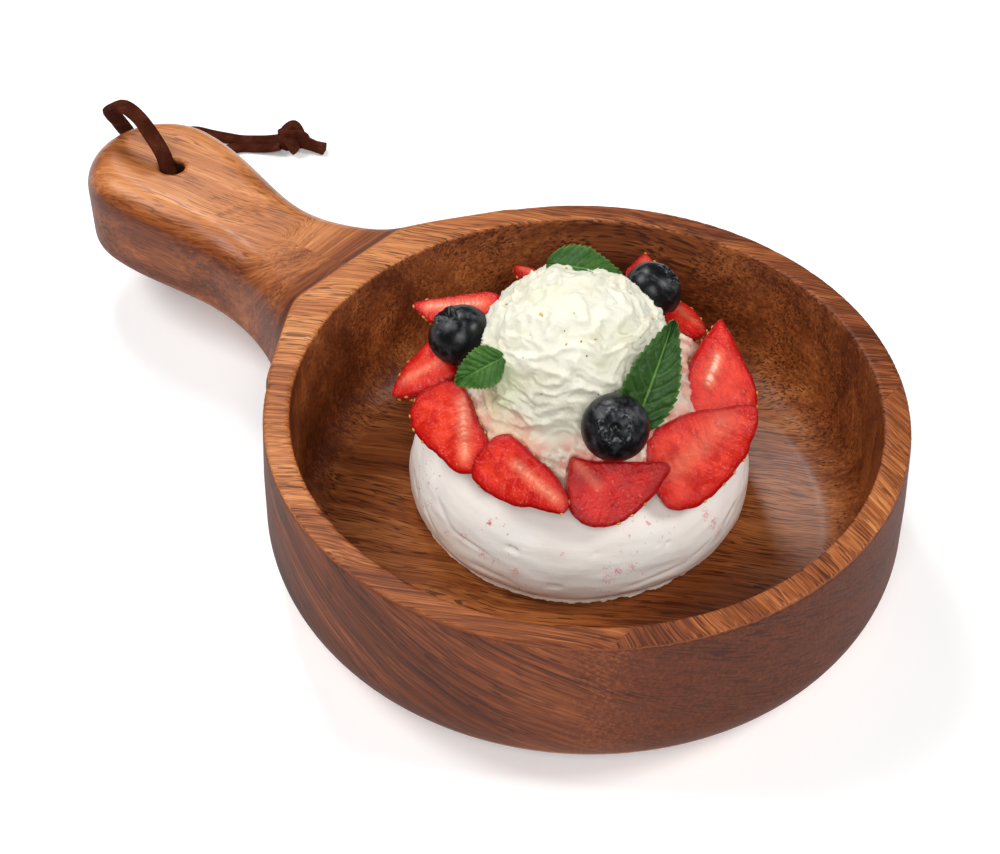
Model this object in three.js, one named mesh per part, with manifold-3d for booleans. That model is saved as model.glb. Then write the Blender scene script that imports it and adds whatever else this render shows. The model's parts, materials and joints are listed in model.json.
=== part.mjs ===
// Pavlova in a round wooden serving bowl with a handle and a leather hanging thong.
// Millimetres, +Z up. The origin is on the bowl's axis at its base, and the handle points along -X.
import * as THREE from 'three';
import Module from 'manifold-3d';
import { mergeVertices } from 'three/addons/utils/BufferGeometryUtils.js';

const wasm = await Module();
wasm.setup();

// ---------------------------------------------------------------- driving dimensions

const GAP = 0.3; // left between pieces that touch

// bowl
const RIM_HEIGHT = 54;
const RIM_RADIUS = 90;
const RIM_WIDTH = 7.5;
const BELLY_RADIUS = 91.5;
const BASE_RADIUS = 71;
const CORNER_HEIGHT = 20;
const FLOOR_HEIGHT = 10;
const FLOOR_FILLET = 13;
const BOWL_SEGMENTS = 64;

// handle, measured along it from the bowl's axis
const HANDLE_UNDERSIDE = 18;
const HANDLE_TOP = 50.3;
const TOP_EDGE = 10;
const BOTTOM_EDGE = 6;
const NECK_HALF_WIDTH = 18.6;
const NECK_DIP = 2.6;
const NECK_DIP_AT = 129;
const NECK_DIP_LENGTH = 20;
const FLARE_RADIUS = 74;
const ROOT_LENGTH = 25;
const GRIP_HALF_WIDTH = 24;
const GRIP_AT = 179;
const GRIP_OFFSET = 1.4;
const HANDLE_LENGTH = 205.4;
const HOLE_AT = 173.3;
const HOLE_RADIUS = 4;

// meringue, cream and scoop
const CAKE = new THREE.Vector3(-7.5, 6.4, 0);
const MERINGUE_RADIUS = 49.3;
const MERINGUE_BASE = 45.4;
const MERINGUE_HEIGHT = 33;
const MERINGUE_LEAN = new THREE.Vector2(0.055, 0.045);
const WIDEST_AT = 7.2;
const SHOULDER_POWER = 2.8;
const CREAM_BED = new THREE.Vector3(-9.6, 9, 0);
const CREAM_TOP = 56;
const SCOOP = new THREE.Vector3(-11.3, 7.7, 0);
const SCOOP_RADIUS = 27.3;
const SCOOP_MIDDLE = 58;
const SCOOP_TOP = 83.3;

// thong
const THONG_DIAMETER = 3;
const TABLE_LIFT = THONG_DIAMETER / 2 + 0.15;
const KNOT = new THREE.Vector3(-204.4, 79.3, 4.3);

// ---------------------------------------------------------------- materials

const surface = (color, roughness) => new THREE.MeshStandardMaterial({ color, roughness, metalness: 0 });
const WOOD = surface(0x8a4f2a, 0.5);
const SUEDE = surface(0x3a1f18, 0.95);
const MERINGUE = surface(0xe9e0d9, 0.6);
const CREAM = surface(0xf1e9d2, 0.5);
const STRAWBERRY = surface(0xc8201c, 0.3);
const BERRY = surface(0x202228, 0.45);
const MINT = surface(0x2c6b2c, 0.5);

// ---------------------------------------------------------------- helpers

const object = new THREE.Group();
const { clamp, degToRad, lerp, smoothstep } = THREE.MathUtils;

function addPart(name, shape, material) {
  const mesh = new THREE.Mesh(shape.isBufferGeometry ? shape : geometryOf(shape), material);
  mesh.name = name;
  object.add(mesh);
}

// one closed body: shared vertices become one, and the slivers that this leaves at the poles go
function joined(geometry) {
  geometry.deleteAttribute('normal');
  geometry.deleteAttribute('uv');
  const body = mergeVertices(geometry, 1e-4);
  const corners = body.index.array;
  const kept = [];
  for (let i = 0; i < corners.length; i += 3) {
    const [a, b, c] = corners.slice(i, i + 3);
    if (a !== b && b !== c && c !== a) kept.push(a, b, c);
  }
  body.setIndex(kept);
  return body;
}

function solidOf(geometry) {
  const body = joined(geometry);
  const vertProperties = new Float32Array(body.attributes.position.array);
  const triVerts = new Uint32Array(body.index.array);
  return new wasm.Manifold(new wasm.Mesh({ numProp: 3, vertProperties, triVerts }));
}

function geometryOf(solid) {
  const mesh = solid.getMesh();
  const geometry = new THREE.BufferGeometry();
  geometry.setAttribute('position', new THREE.BufferAttribute(new Float32Array(mesh.vertProperties), 3));
  geometry.setIndex(new THREE.BufferAttribute(new Uint32Array(mesh.triVerts), 1));
  return geometry;
}

// moves every vertex of a geometry by a rule, which also gets the vertex's number
function reshape(geometry, rule) {
  const at = geometry.attributes.position;
  const p = new THREE.Vector3();
  for (let i = 0; i < at.count; i += 1) {
    p.fromBufferAttribute(at, i);
    rule(p, i);
    at.setXYZ(i, p.x, p.y, p.z);
  }
  return geometry;
}

// a body of revolution about +Z from [radius, height] pairs that run from the axis to the axis
function turned(profile, segments) {
  const points = profile.map(([radius, height]) => new THREE.Vector2(radius, height));
  return new THREE.LatheGeometry(points, segments).rotateX(Math.PI / 2);
}

// points of a part of an ellipse from one angle to another, both ends included
function arc(radius, height, across, up, from, to, steps) {
  const points = [];
  for (let i = 0; i <= steps; i += 1) {
    const angle = degToRad(lerp(from, to, i / steps));
    points.push([radius + across * Math.cos(angle), height + up * Math.sin(angle)]);
  }
  return points;
}

const hump = (x, middle, length) => Math.exp(-(((x - middle) / length) ** 2));

function direction(bearing, elevation) {
  const flat = Math.cos(degToRad(elevation));
  const x = Math.cos(degToRad(bearing)) * flat;
  const y = Math.sin(degToRad(bearing)) * flat;
  return new THREE.Vector3(x, y, Math.sin(degToRad(elevation)));
}

// the axes of a flat thing that runs from one point to another and faces a given way
function axesOf(from, to, face) {
  const start = new THREE.Vector3(...from);
  const end = new THREE.Vector3(...to);
  const along = end.clone().sub(start).normalize();
  const out = direction(...face);
  out.addScaledVector(along, -out.dot(along)).normalize();
  return { start, along, out, side: out.clone().cross(along), length: start.distanceTo(end) };
}

// ---------------------------------------------------------------- bowl with its handle

function bowlBody() {
  const corner = BELLY_RADIUS - BASE_RADIUS;
  return turned([
    [0, 0],
    ...arc(BASE_RADIUS, CORNER_HEIGHT, corner, CORNER_HEIGHT, -90, 0, 6),
    [BELLY_RADIUS - 0.4, CORNER_HEIGHT + 16],
    [RIM_RADIUS, RIM_HEIGHT],
    [0, RIM_HEIGHT],
  ], BOWL_SEGMENTS);
}

function bowlHollow() {
  const wall = RIM_RADIUS - RIM_WIDTH;
  return turned([
    [0, FLOOR_HEIGHT],
    ...arc(wall - FLOOR_FILLET, FLOOR_HEIGHT + FLOOR_FILLET, FLOOR_FILLET, FLOOR_FILLET, -90, 0, 4),
    [wall, RIM_HEIGHT + 5],
    [0, RIM_HEIGHT + 5],
  ], BOWL_SEGMENTS);
}

// height of the handle's top: it dips at the neck and rises to the rim
function handleTop(along) {
  const dip = NECK_DIP * hump(along, NECK_DIP_AT, NECK_DIP_LENGTH);
  const rise = 8 * hump(Math.max(along, 80), 80, 14);
  return HANDLE_TOP - dip + rise;
}

// half of the handle's outline seen from above, as [along, across] from the middle of its round end:
// the end, the grip, the neck, a flare tangent to the rim and a root inside the bowl
function handleOutline() {
  const endAt = HANDLE_LENGTH - GRIP_HALF_WIDTH;
  const flareOut = NECK_HALF_WIDTH + FLARE_RADIUS;
  const reach = RIM_RADIUS + FLARE_RADIUS;
  const neckAt = Math.sqrt(reach ** 2 - flareOut ** 2);
  const flareTurn = Math.acos(flareOut / reach);
  const gripSteps = 8;
  const flareSteps = 9;
  const outline = arc(endAt, 0, GRIP_HALF_WIDTH, GRIP_HALF_WIDTH, 0, 90, 7);
  for (let i = 1; i < gripSteps; i += 1) {
    const along = lerp(endAt, neckAt, i / gripSteps);
    const across = lerp(NECK_HALF_WIDTH, GRIP_HALF_WIDTH, smoothstep(along, neckAt, GRIP_AT));
    outline.push([along, across]);
  }
  for (let i = 0; i <= flareSteps; i += 1) {
    const turn = (flareTurn * i) / flareSteps;
    outline.push([neckAt - FLARE_RADIUS * Math.sin(turn), flareOut - FLARE_RADIUS * Math.cos(turn)]);
  }
  const [rootAt, rootWidth] = outline.at(-1);
  outline.push(...arc(rootAt, 0, -ROOT_LENGTH, rootWidth, 90, 0, 3).slice(1));
  return outline;
}

// Rings of points that run round the outline, from the middle of the top over the rounded edges to
// the middle of the underside. Each ring is set in from the outline, and a share of the way on to
// the middle line.
function handleBody() {
  const outline = handleOutline();
  const half = outline.length - 1;
  const round = (edge, from, to, steps) => arc(edge, 0, -edge, edge, from, to, steps);
  const top = round(TOP_EDGE, 90, 0, 4).map(([inset, rise]) => ({ inset, rise, share: 0 }));
  const bottom = round(BOTTOM_EDGE, 0, -90, 2).map(([inset, rise]) => ({ inset, rise, share: 0 }));
  const rings = [
    { inset: TOP_EDGE, rise: TOP_EDGE, share: 1 },
    { inset: TOP_EDGE, rise: TOP_EDGE, share: 0.5 },
    ...top,
    ...bottom,
    { inset: BOTTOM_EDGE, rise: -BOTTOM_EDGE, share: 1 },
  ];
  const underFrom = 2 + top.length;
  const endAt = HANDLE_LENGTH - GRIP_HALF_WIDTH;
  const rootAt = outline[half - 3][0];
  const point = (k) => [outline[Math.abs(k)][0], Math.sign(k) * outline[Math.abs(k)][1]];
  const sleeve = new THREE.CylinderGeometry(1, 1, 1, 2 * half, rings.length - 1, true);
  return reshape(sleeve, (p, i) => {
    const row = Math.floor(i / (2 * half + 1));
    const column = i % (2 * half + 1);
    const k = column <= half ? column : 2 * half - column;
    const before = point(k - 1);
    const after = k < half ? point(k + 1) : [outline[k - 1][0], -outline[k - 1][1]];
    const tangent = new THREE.Vector2(after[0] - before[0], after[1] - before[1]).normalize();
    const { inset, rise, share } = rings[row];
    const edgeX = outline[k][0] - inset * tangent.y;
    const edgeY = Math.max(outline[k][1] + inset * tangent.x, 0);
    const along = lerp(edgeX, clamp(edgeX, rootAt, endAt), share);
    const offset = GRIP_OFFSET * smoothstep(along, rootAt, HANDLE_LENGTH);
    const across = lerp(edgeY, 0, share) * (column <= half ? 1 : -1) - offset;
    const isUnder = row >= underFrom;
    const level = isUnder ? HANDLE_UNDERSIDE + BOTTOM_EDGE : handleTop(along) - TOP_EDGE;
    p.set(along, across, level + rise);
  }).rotateZ(Math.PI);
}

function bowl() {
  const aboveRim = new THREE.BoxGeometry(300, 300, 40).translate(-100, 0, RIM_HEIGHT + 20);
  const hole = new THREE.CylinderGeometry(HOLE_RADIUS, HOLE_RADIUS, 80, 20);
  hole.rotateX(Math.PI / 2).translate(-HOLE_AT, 0, HANDLE_TOP / 2);
  return solidOf(bowlBody())
    .add(solidOf(handleBody()))
    .subtract(solidOf(aboveRim))
    .subtract(solidOf(bowlHollow()))
    .subtract(solidOf(hole));
}

// ---------------------------------------------------------------- strawberries

// Each is a half or a wedge of a berry. It runs from its stem end to its tip, with the cut face
// turned to a bearing and elevation. It is so wide on either side of that line and so deep behind.
// The lower the peak, the nearer its widest place is to the stem.
const STRAWBERRIES = [
  { stem: [-31.9, -23, 57.2], tip: [-11.2, -37.2, 44.8], face: [-95, 45], above: 8.6, below: 14.6 },
  { stem: [13.1, -23.9, 50.2], tip: [33.4, -3.2, 53], face: [-50, 45], above: 5, below: 15, peak: 0.5 },
  { stem: [-9.6, -29, 54.6], tip: [18.9, -30.5, 46.2], face: [-75, 45], above: 4.8, below: 13.6, peak: 0.6 },
  { stem: [27.4, -5.2, 47], tip: [38.6, 29.4, 52.2], face: [-25, 48], above: 9, below: 14.5, peak: 0.5 },
  { stem: [32.4, 19.8, 41.5], tip: [9.2, 48.9, 59.5], face: [0, 55], above: 11.4, below: 12.8, peak: 0.6 },
  { stem: [-42, -14.8, 54.6], tip: [-50.8, -26.5, 44.9], face: [-120, 55], above: 8.5, below: 9.5 },
  { stem: [-44.8, 14.3, 55.6], tip: [-68.4, 1.8, 49.1], face: [-100, 65], above: 7, below: 3, depth: 6 },
  { stem: [-12.3, 49.3, 54.2], tip: [5, 49.6, 50.2], face: [60, 60], above: 7, below: 9, depth: 6 },
  { stem: [-17, 49, 55], tip: [-28.2, 61.9, 54.5], face: [110, 65], above: 6.5, below: 6, depth: 6 },
  { stem: [-40, 34.5, 52.5], tip: [-57.2, 34.4, 51], face: [150, 65], above: 4, below: 3.5, depth: 6 },
];
const SLICE_DEPTH = 8;
const SLICE_PEAK = 0.7;
const FACE_SWELL = 0.4;
const FACE_ROOM = 9;

const berryOutline = (t, peak) => Math.sin(Math.PI * t ** peak) ** 0.75;

function strawberry(spec, grow = 0, front = FACE_SWELL) {
  const { stem, tip, face, above, below, depth = SLICE_DEPTH, peak = SLICE_PEAK } = spec;
  const { start, along, out, side, length } = axesOf(stem, tip, face);
  start.addScaledVector(along, -grow);
  return reshape(new THREE.SphereGeometry(1, 16, 9), (p) => {
    const t = clamp((1 - p.y) / 2, 0, 1);
    const ring = Math.hypot(p.x, p.z);
    const across = ring > 1e-6 ? p.x / ring : 0;
    const facing = ring > 1e-6 ? p.z / ring : 0;
    const width = berryOutline(t, peak);
    const sideways = across * width * ((across > 0 ? above : below) + grow);
    const thick = facing * width * ((facing > 0 ? front : depth) + grow);
    p.copy(start).addScaledVector(along, t * (length + 2 * grow));
    p.addScaledVector(side, sideways).addScaledVector(out, thick);
  });
}

// ---------------------------------------------------------------- blueberries

// The crown end points along the bearing and elevation given.
const BLUEBERRIES = [
  { middle: [-37.7, -10.8, 63.8], radius: 9.1, crown: [200, 60] },
  { middle: [-12.9, 46.1, 58.5], radius: 8.7, crown: [55, 45] },
  { middle: [19.2, -11.2, 64], radius: 9.3, crown: [-52, 44] },
];
const CROWN_DEPTH = 1.6;
const CROWN_RADIUS = 0.32;
const BERRY_SQUASH = 0.93;

function blueberry({ middle, radius, crown }, grow = 0) {
  const turn = new THREE.Quaternion().setFromUnitVectors(new THREE.Vector3(0, 1, 0), direction(...crown));
  return reshape(new THREE.SphereGeometry(1, 16, 12), (p) => {
    const fromAxis = Math.hypot(p.x, p.z);
    const dent = grow === 0 && p.y > 0 ? CROWN_DEPTH * hump(fromAxis, 0, CROWN_RADIUS) : 0;
    p.y *= BERRY_SQUASH;
    p.multiplyScalar(radius + grow);
    p.y -= dent;
    p.applyQuaternion(turn).add(new THREE.Vector3(...middle));
  });
}

// ---------------------------------------------------------------- mint leaves

// Each leaf runs from its foot to its tip, with its upper face turned to the bearing and elevation
// given. It is folded along its midrib and curled from foot to tip.
const LEAVES = [
  { foot: [-16.6, -15.8, 71.3], tip: [-27, -24.3, 61], face: [-80, 35], half: 5.5, fold: 0.8, curl: 1 },
  { foot: [20.6, -5, 57.8], tip: [16.2, 16.5, 82.4], face: [-38, 35], half: 7.5, fold: 1.4, curl: 1.5 },
  { foot: [-28.1, 15.4, 79.3], tip: [-10.6, 27.9, 76.2], face: [-40, 60], half: 6, fold: 1.4, curl: 2.2 },
];
const LEAF_THICKNESS = 0.8;

// a thin closed sheet: the same grid on both faces, sewn together round its edge
function sheet(along, across, place) {
  const geometry = new THREE.BufferGeometry();
  const points = [];
  const index = [];
  const row = across + 1;
  const layer = row * (along + 1);
  for (const face of [0.5, -0.5]) {
    for (let i = 0; i <= along; i += 1) {
      for (let j = 0; j <= across; j += 1) {
        points.push(...place(i / along, (2 * j) / across - 1, face).toArray());
      }
    }
  }
  const quad = (a, b, c, d) => index.push(a, b, c, a, c, d);
  for (let i = 0; i < along; i += 1) {
    for (let j = 0; j < across; j += 1) {
      const a = i * row + j;
      quad(a, a + row, a + row + 1, a + 1);
      index.push(a + layer, a + row + 1 + layer, a + row + layer);
      index.push(a + layer, a + 1 + layer, a + row + 1 + layer);
    }
    const left = i * row;
    const right = left + across;
    quad(left, left + layer, left + row + layer, left + row);
    quad(right, right + row, right + row + layer, right + layer);
  }
  for (let j = 0; j < across; j += 1) {
    const last = along * row + j;
    quad(j, j + 1, j + 1 + layer, j + layer);
    quad(last, last + layer, last + 1 + layer, last + 1);
  }
  geometry.setAttribute('position', new THREE.BufferAttribute(new Float32Array(points), 3));
  geometry.setIndex(index);
  return geometry;
}

const leafOutline = (t) => 0.1 + 0.9 * Math.sin(Math.PI * (0.04 + 0.96 * t ** 0.75));

function mintLeaf({ foot, tip, face, half, fold, curl }, grow = 0) {
  const { start, along, out, side, length } = axesOf(foot, tip, face);
  return sheet(12, 4, (t, v, layer) => {
    const wave = 0.25 * Math.sin(5 * Math.PI * t) * Math.abs(v);
    const lift = fold * Math.abs(v) - curl * (2 * t - 1) ** 2 + wave;
    return start.clone()
      .addScaledVector(along, t * length)
      .addScaledVector(side, v * (leafOutline(t) * half + grow))
      .addScaledVector(out, lift + layer * (LEAF_THICKNESS + 2 * grow));
  });
}

// ---------------------------------------------------------------- meringue and cream

// a squat round cake with a thin crisp foot, widest near its base, and a soft shoulder
function meringue() {
  const profile = [
    [0, 0],
    [MERINGUE_BASE - 0.3, 0],
    [MERINGUE_BASE + 0.6, 0.4],
    [MERINGUE_BASE + 0.7, 1.2],
    [MERINGUE_BASE + 1, 2],
    [lerp(MERINGUE_BASE, MERINGUE_RADIUS, 0.78), WIDEST_AT * 0.53],
    [MERINGUE_RADIUS, WIDEST_AT],
    ...[0.2, 0.37, 0.53, 0.67, 0.79, 0.89, 0.96].map((share) => [
      MERINGUE_RADIUS * (1 - share ** SHOULDER_POWER) ** (1 / SHOULDER_POWER),
      lerp(WIDEST_AT, MERINGUE_HEIGHT, share),
    ]),
    [0, MERINGUE_HEIGHT],
  ];
  const body = reshape(turned(profile, 44), (p) => {
    const angle = Math.atan2(p.y, p.x);
    const swell = 1 + 0.005 * Math.cos(2 * angle + 4) + 0.004 * Math.sin(5 * angle + 0.12 * p.z);
    p.x = p.x * swell + MERINGUE_LEAN.x * p.z;
    p.y = p.y * swell + MERINGUE_LEAN.y * p.z;
  });
  return solidOf(body.translate(CAKE.x, CAKE.y, FLOOR_HEIGHT + GAP));
}

// spread over the meringue's top and shoulder
function creamBed() {
  const low = FLOOR_HEIGHT + MERINGUE_HEIGHT - 7;
  const profile = [
    [0, low],
    [37, low],
    [39, low + 2],
    [39.5, low + 8],
    [38.8, low + 11.6],
    [36.5, low + 14.6],
    [33.5, CREAM_TOP - 2],
    [30.5, CREAM_TOP - 0.4],
    [26, CREAM_TOP],
    [0, CREAM_TOP],
  ];
  const body = reshape(turned(profile, 32), (p) => {
    const angle = Math.atan2(p.y, p.x);
    const swell = 1 + 0.02 * Math.sin(3 * angle + 1.1) + 0.012 * Math.sin(7 * angle);
    p.x *= swell;
    p.y *= swell;
  });
  const underneath = meringue().translate([0, 0, GAP]);
  return solidOf(body.translate(CREAM_BED.x, CREAM_BED.y, 0)).subtract(underneath);
}

// a spooned ball of whipped cream with scraped ridges
function scoop() {
  const foot = CREAM_TOP + GAP;
  const height = SCOOP_TOP - SCOOP_MIDDLE;
  const dome = arc(0, SCOOP_MIDDLE, SCOOP_RADIUS, height, 4, 90, 10).slice(0, -1);
  const profile = [[0, foot], [SCOOP_RADIUS + 0.8, foot], ...dome, [0, SCOOP_TOP]];
  const body = reshape(turned(profile, 32), (p) => {
    const angle = Math.atan2(p.y, p.x);
    const rise = clamp((p.z - foot) / (SCOOP_TOP - foot), 0, 1);
    const fade = Math.sin(Math.PI * Math.min(1.2 * rise + 0.1, 1));
    const ridge = 0.7 * Math.sin(4 * angle + 0.35 * p.z) + 0.4 * Math.sin(9 * angle - 0.5 * p.z);
    const radius = Math.hypot(p.x, p.y);
    const scale = radius > 1 ? 1 + (ridge * fade) / radius : 1;
    p.x *= scale;
    p.y *= scale;
  });
  return solidOf(body.translate(SCOOP.x, SCOOP.y, 0));
}

// ---------------------------------------------------------------- thong

// the strand that rises from the hole, arches over the handle's end and falls to the table
const OVER_ROUTE = [
  [-173.3, 0, 34.3],
  [-173.5, -0.3, 42],
  [-174.6, -0.9, 50],
  [-177.1, -0.3, 53.8],
  [-182.5, 0, 58.9],
  [-186.7, 0, 62.3],
  [-192.2, 0, 63.8],
  [-197.3, 0.3, 62.9],
  [-202.8, 1.2, 59.2],
  [-207.3, 4, 53.6],
  [-210, 8.4, 46.2],
  [-212.2, 13, 38],
  [-215.6, 19, 28.5],
  [-221, 26.5, 18.5],
  [-228.2, 35, 9.5],
  [-235, 43.5, 4],
  [-239.5, 50.5, TABLE_LIFT],
  [-240.8, 56.5, TABLE_LIFT],
  [-238.2, 61, TABLE_LIFT],
  [-232.4, 63.4, TABLE_LIFT],
  [-226.6, 66, TABLE_LIFT],
  [-221.1, 68.8, TABLE_LIFT],
  [-216.3, 72, TABLE_LIFT + 0.3],
  [-211.7, 75, TABLE_LIFT + 1],
  [-208.4, 77.1, TABLE_LIFT + 1.8],
];

// the strand that leaves the hole's underside and runs below the handle to the table
const UNDER_ROUTE = [
  [-173.3, 0, 33.7],
  [-173.3, 0, 27],
  [-173.4, 0.2, 20],
  [-174.4, 2, 13.4],
  [-178, 7, 7.6],
  [-184.4, 15.4, 3.4],
  [-192, 25.6, TABLE_LIFT],
  [-201, 36, TABLE_LIFT],
  [-210.4, 45, TABLE_LIFT],
  [-217.6, 52.6, TABLE_LIFT],
  [-220.4, 60, TABLE_LIFT],
  [-217.6, 66, TABLE_LIFT],
  [-213.4, 69.4, TABLE_LIFT],
  [-209.3, 72, TABLE_LIFT + 0.6],
  [-205.6, 74.6, TABLE_LIFT + 1.6],
];

function strand(route, steps) {
  const path = new THREE.CatmullRomCurve3(route.map((point) => new THREE.Vector3(...point)), false, 'centripetal');
  const section = new THREE.Shape().absarc(0, 0, THONG_DIAMETER / 2, 0, 2 * Math.PI, false);
  return new THREE.ExtrudeGeometry(section, { extrudePath: path, steps, curveSegments: 4 });
}

// an overhand knot: a ball with two lobes, and the two cut ends lying together beside it
function knot() {
  const ball = new THREE.SphereGeometry(4.1, 16, 10);
  const upperLobe = new THREE.SphereGeometry(2.1, 10, 7).translate(-3.6, 1.9, 1.6);
  const lowerLobe = new THREE.SphereGeometry(2.3, 10, 7).translate(4.4, -2.6, -1.5);
  const tail = new THREE.CapsuleGeometry(1.8, 8, 3, 10).rotateZ(Math.PI / 2 + 0.14).translate(7.4, 3.6, -2.2);
  const parts = [upperLobe, lowerLobe, tail].map(solidOf);
  return parts.reduce((whole, part) => whole.add(part), solidOf(ball)).translate(KNOT.toArray());
}

// ---------------------------------------------------------------- the whole

// takes the room of the pieces pressed into it out of a solid
const makeRoom = (solid, fillers) => fillers.reduce((rest, filler) => rest.subtract(filler), solid);

const berryRoom = BLUEBERRIES.map((berry) => solidOf(blueberry(berry, GAP)));
const leafRoom = LEAVES.map((leaf) => solidOf(mintLeaf(leaf, GAP)));
const sliceRoom = STRAWBERRIES.map((slice) => solidOf(strawberry(slice, GAP)));
const openSliceRoom = STRAWBERRIES.map((slice) => solidOf(strawberry(slice, GAP, FACE_ROOM)));

addPart('bowl', bowl(), WOOD);
addPart('meringue', makeRoom(meringue(), sliceRoom), MERINGUE);
addPart('cream_bed', makeRoom(creamBed(), [...openSliceRoom, ...berryRoom, ...leafRoom]), CREAM);
addPart('cream_scoop', makeRoom(scoop(), [...sliceRoom, ...berryRoom, ...leafRoom]), CREAM);
STRAWBERRIES.forEach((slice, i) => {
  const room = [...sliceRoom.slice(0, i), ...berryRoom, ...leafRoom];
  addPart(`strawberry_${i + 1}`, makeRoom(solidOf(strawberry(slice)), room), STRAWBERRY);
});
BLUEBERRIES.forEach((berry, i) => addPart(`blueberry_${i + 1}`, joined(blueberry(berry)), BERRY));
LEAVES.forEach((leaf, i) => {
  addPart(`mint_leaf_${i + 1}`, makeRoom(solidOf(mintLeaf(leaf)), berryRoom), MINT);
});
addPart('thong_over', joined(strand(OVER_ROUTE, 46)), SUEDE);
addPart('thong_under', joined(strand(UNDER_ROUTE, 30)), SUEDE);
addPart('thong_knot', knot(), SUEDE);

export default object;
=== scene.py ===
# Pavlova in a round wooden serving bowl with a handle and a suede hanging thong.
# Shapes are worked out in millimetres, with +Z up, and become metres when a piece is made.
import json
from math import acos, cos, radians, sin, sqrt

import bpy
import numpy as np
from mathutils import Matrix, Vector
from mathutils.bvhtree import BVHTree

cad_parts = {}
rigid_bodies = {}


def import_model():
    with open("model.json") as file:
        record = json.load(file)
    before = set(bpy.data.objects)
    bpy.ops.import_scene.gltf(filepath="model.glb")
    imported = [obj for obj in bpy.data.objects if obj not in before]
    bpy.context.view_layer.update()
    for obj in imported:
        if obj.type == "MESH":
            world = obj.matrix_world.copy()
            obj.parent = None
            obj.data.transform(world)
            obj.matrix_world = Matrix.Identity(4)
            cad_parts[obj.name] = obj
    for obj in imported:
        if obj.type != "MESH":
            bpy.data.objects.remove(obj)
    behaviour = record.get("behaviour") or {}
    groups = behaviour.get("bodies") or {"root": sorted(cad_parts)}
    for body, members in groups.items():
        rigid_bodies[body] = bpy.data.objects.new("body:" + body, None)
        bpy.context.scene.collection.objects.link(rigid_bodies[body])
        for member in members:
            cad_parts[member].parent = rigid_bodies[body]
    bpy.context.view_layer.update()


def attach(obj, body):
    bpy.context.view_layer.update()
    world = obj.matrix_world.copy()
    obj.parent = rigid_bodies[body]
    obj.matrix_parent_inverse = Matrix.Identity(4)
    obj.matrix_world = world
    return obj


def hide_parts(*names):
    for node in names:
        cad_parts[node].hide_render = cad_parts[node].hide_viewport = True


for startup_object in list(bpy.data.objects):
    bpy.data.objects.remove(startup_object)

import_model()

MM = 0.001

# ---- dimensions, as in the solids

RIM_HEIGHT = 54
RIM_RADIUS = 90
RIM_WIDTH = 7.5
BELLY_RADIUS = 91.5
BASE_RADIUS = 71
CORNER_HEIGHT = 20
FLOOR_HEIGHT = 10
FLOOR_FILLET = 13
RIM_ROUNDING = 0.9

HANDLE_UNDERSIDE = 18
HANDLE_TOP = 50.3
TOP_EDGE = 10
BOTTOM_EDGE = 6
NECK_HALF_WIDTH = 18.6
NECK_DIP = 2.6
NECK_DIP_AT = 129
NECK_DIP_LENGTH = 20
FLARE_RADIUS = 74
ROOT_LENGTH = 25
GRIP_HALF_WIDTH = 24
GRIP_AT = 179
GRIP_OFFSET = 1.4
HANDLE_LENGTH = 205.4
HOLE_AT = 173.3
HOLE_RADIUS = 4

CAKE = (-7.5, 6.4)
MERINGUE_RADIUS = 49.3
MERINGUE_BASE = 45.4
MERINGUE_HEIGHT = 33
MERINGUE_LEAN = (0.055, 0.045)
WIDEST_AT = 7.2
SHOULDER_POWER = 2.8
CREAM_BED = (-9.6, 9)
CREAM_TOP = 56
CREAM_BOTTOM = FLOOR_HEIGHT + MERINGUE_HEIGHT - 5
SCOOP = (-11.3, 7.7)
SCOOP_RADIUS = 27.3
SCOOP_MIDDLE = 58
SCOOP_TOP = 83.3

TABLE_LIFT = 1.65
STRIP_WIDTH = 5.4
STRIP_THICKNESS = 1.9
STRIP_DROP = 0.6  # how much lower a flat strip lies on the table than the round solid
KNOT = (-204.4, 79.3, 4.3)

# ---- small mathematics


def unit(vector):
    vector = np.asarray(vector, float)
    return vector / np.linalg.norm(vector, axis=-1, keepdims=True)


def smoothstep(x, low, high):
    t = np.clip((x - low) / (high - low), 0, 1)
    return t * t * (3 - 2 * t)


def hump(x, middle, length, power=2):
    return np.exp(-(((x - middle) / length) ** power))


def direction(bearing, elevation):
    bearing, elevation = radians(bearing), radians(elevation)
    flat = cos(elevation)
    return np.array([cos(bearing) * flat, sin(bearing) * flat, sin(elevation)])


def arc(middle, radii, start, end, steps):
    angles = np.radians(np.linspace(start, end, steps + 1))
    return [(middle[0] + radii[0] * cos(a), middle[1] + radii[1] * sin(a)) for a in angles]


def between(first, second, low, high, t):
    return ((high - t) * first + (t - low) * second) / (high - low)


def through(points, per_span, closed=False):
    """Points on a centripetal Catmull-Rom curve through the given points."""
    points = np.asarray(points, float)
    if closed:
        p = np.concatenate([points[-1:], points, points[:2]])
    else:
        p = np.concatenate([2 * points[:1] - points[1:2], points, 2 * points[-1:] - points[-2:-1]])
    gaps = np.maximum(np.linalg.norm(np.diff(p, axis=0), axis=1), 1e-6) ** 0.5
    knots = np.concatenate([[0], np.cumsum(gaps)])
    made = []
    for i in range(1, len(p) - 2):
        k = knots[i - 1:i + 3]
        t = np.linspace(k[1], k[2], per_span, endpoint=False)[:, None]
        a, b, c = [between(p[i + n - 1], p[i + n], k[n], k[n + 1], t) for n in range(3)]
        made.append(between(between(a, b, k[0], k[2], t), between(b, c, k[1], k[3], t), k[1], k[2], t))
    if not closed:
        made.append(points[-1:])
    return np.concatenate(made)


NOISE_SIZE = 256
noise_source = np.random.RandomState(7)
NOISE_ORDER = noise_source.permutation(NOISE_SIZE)
NOISE_SLOPES = unit(noise_source.normal(size=(NOISE_SIZE, 3)))


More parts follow.
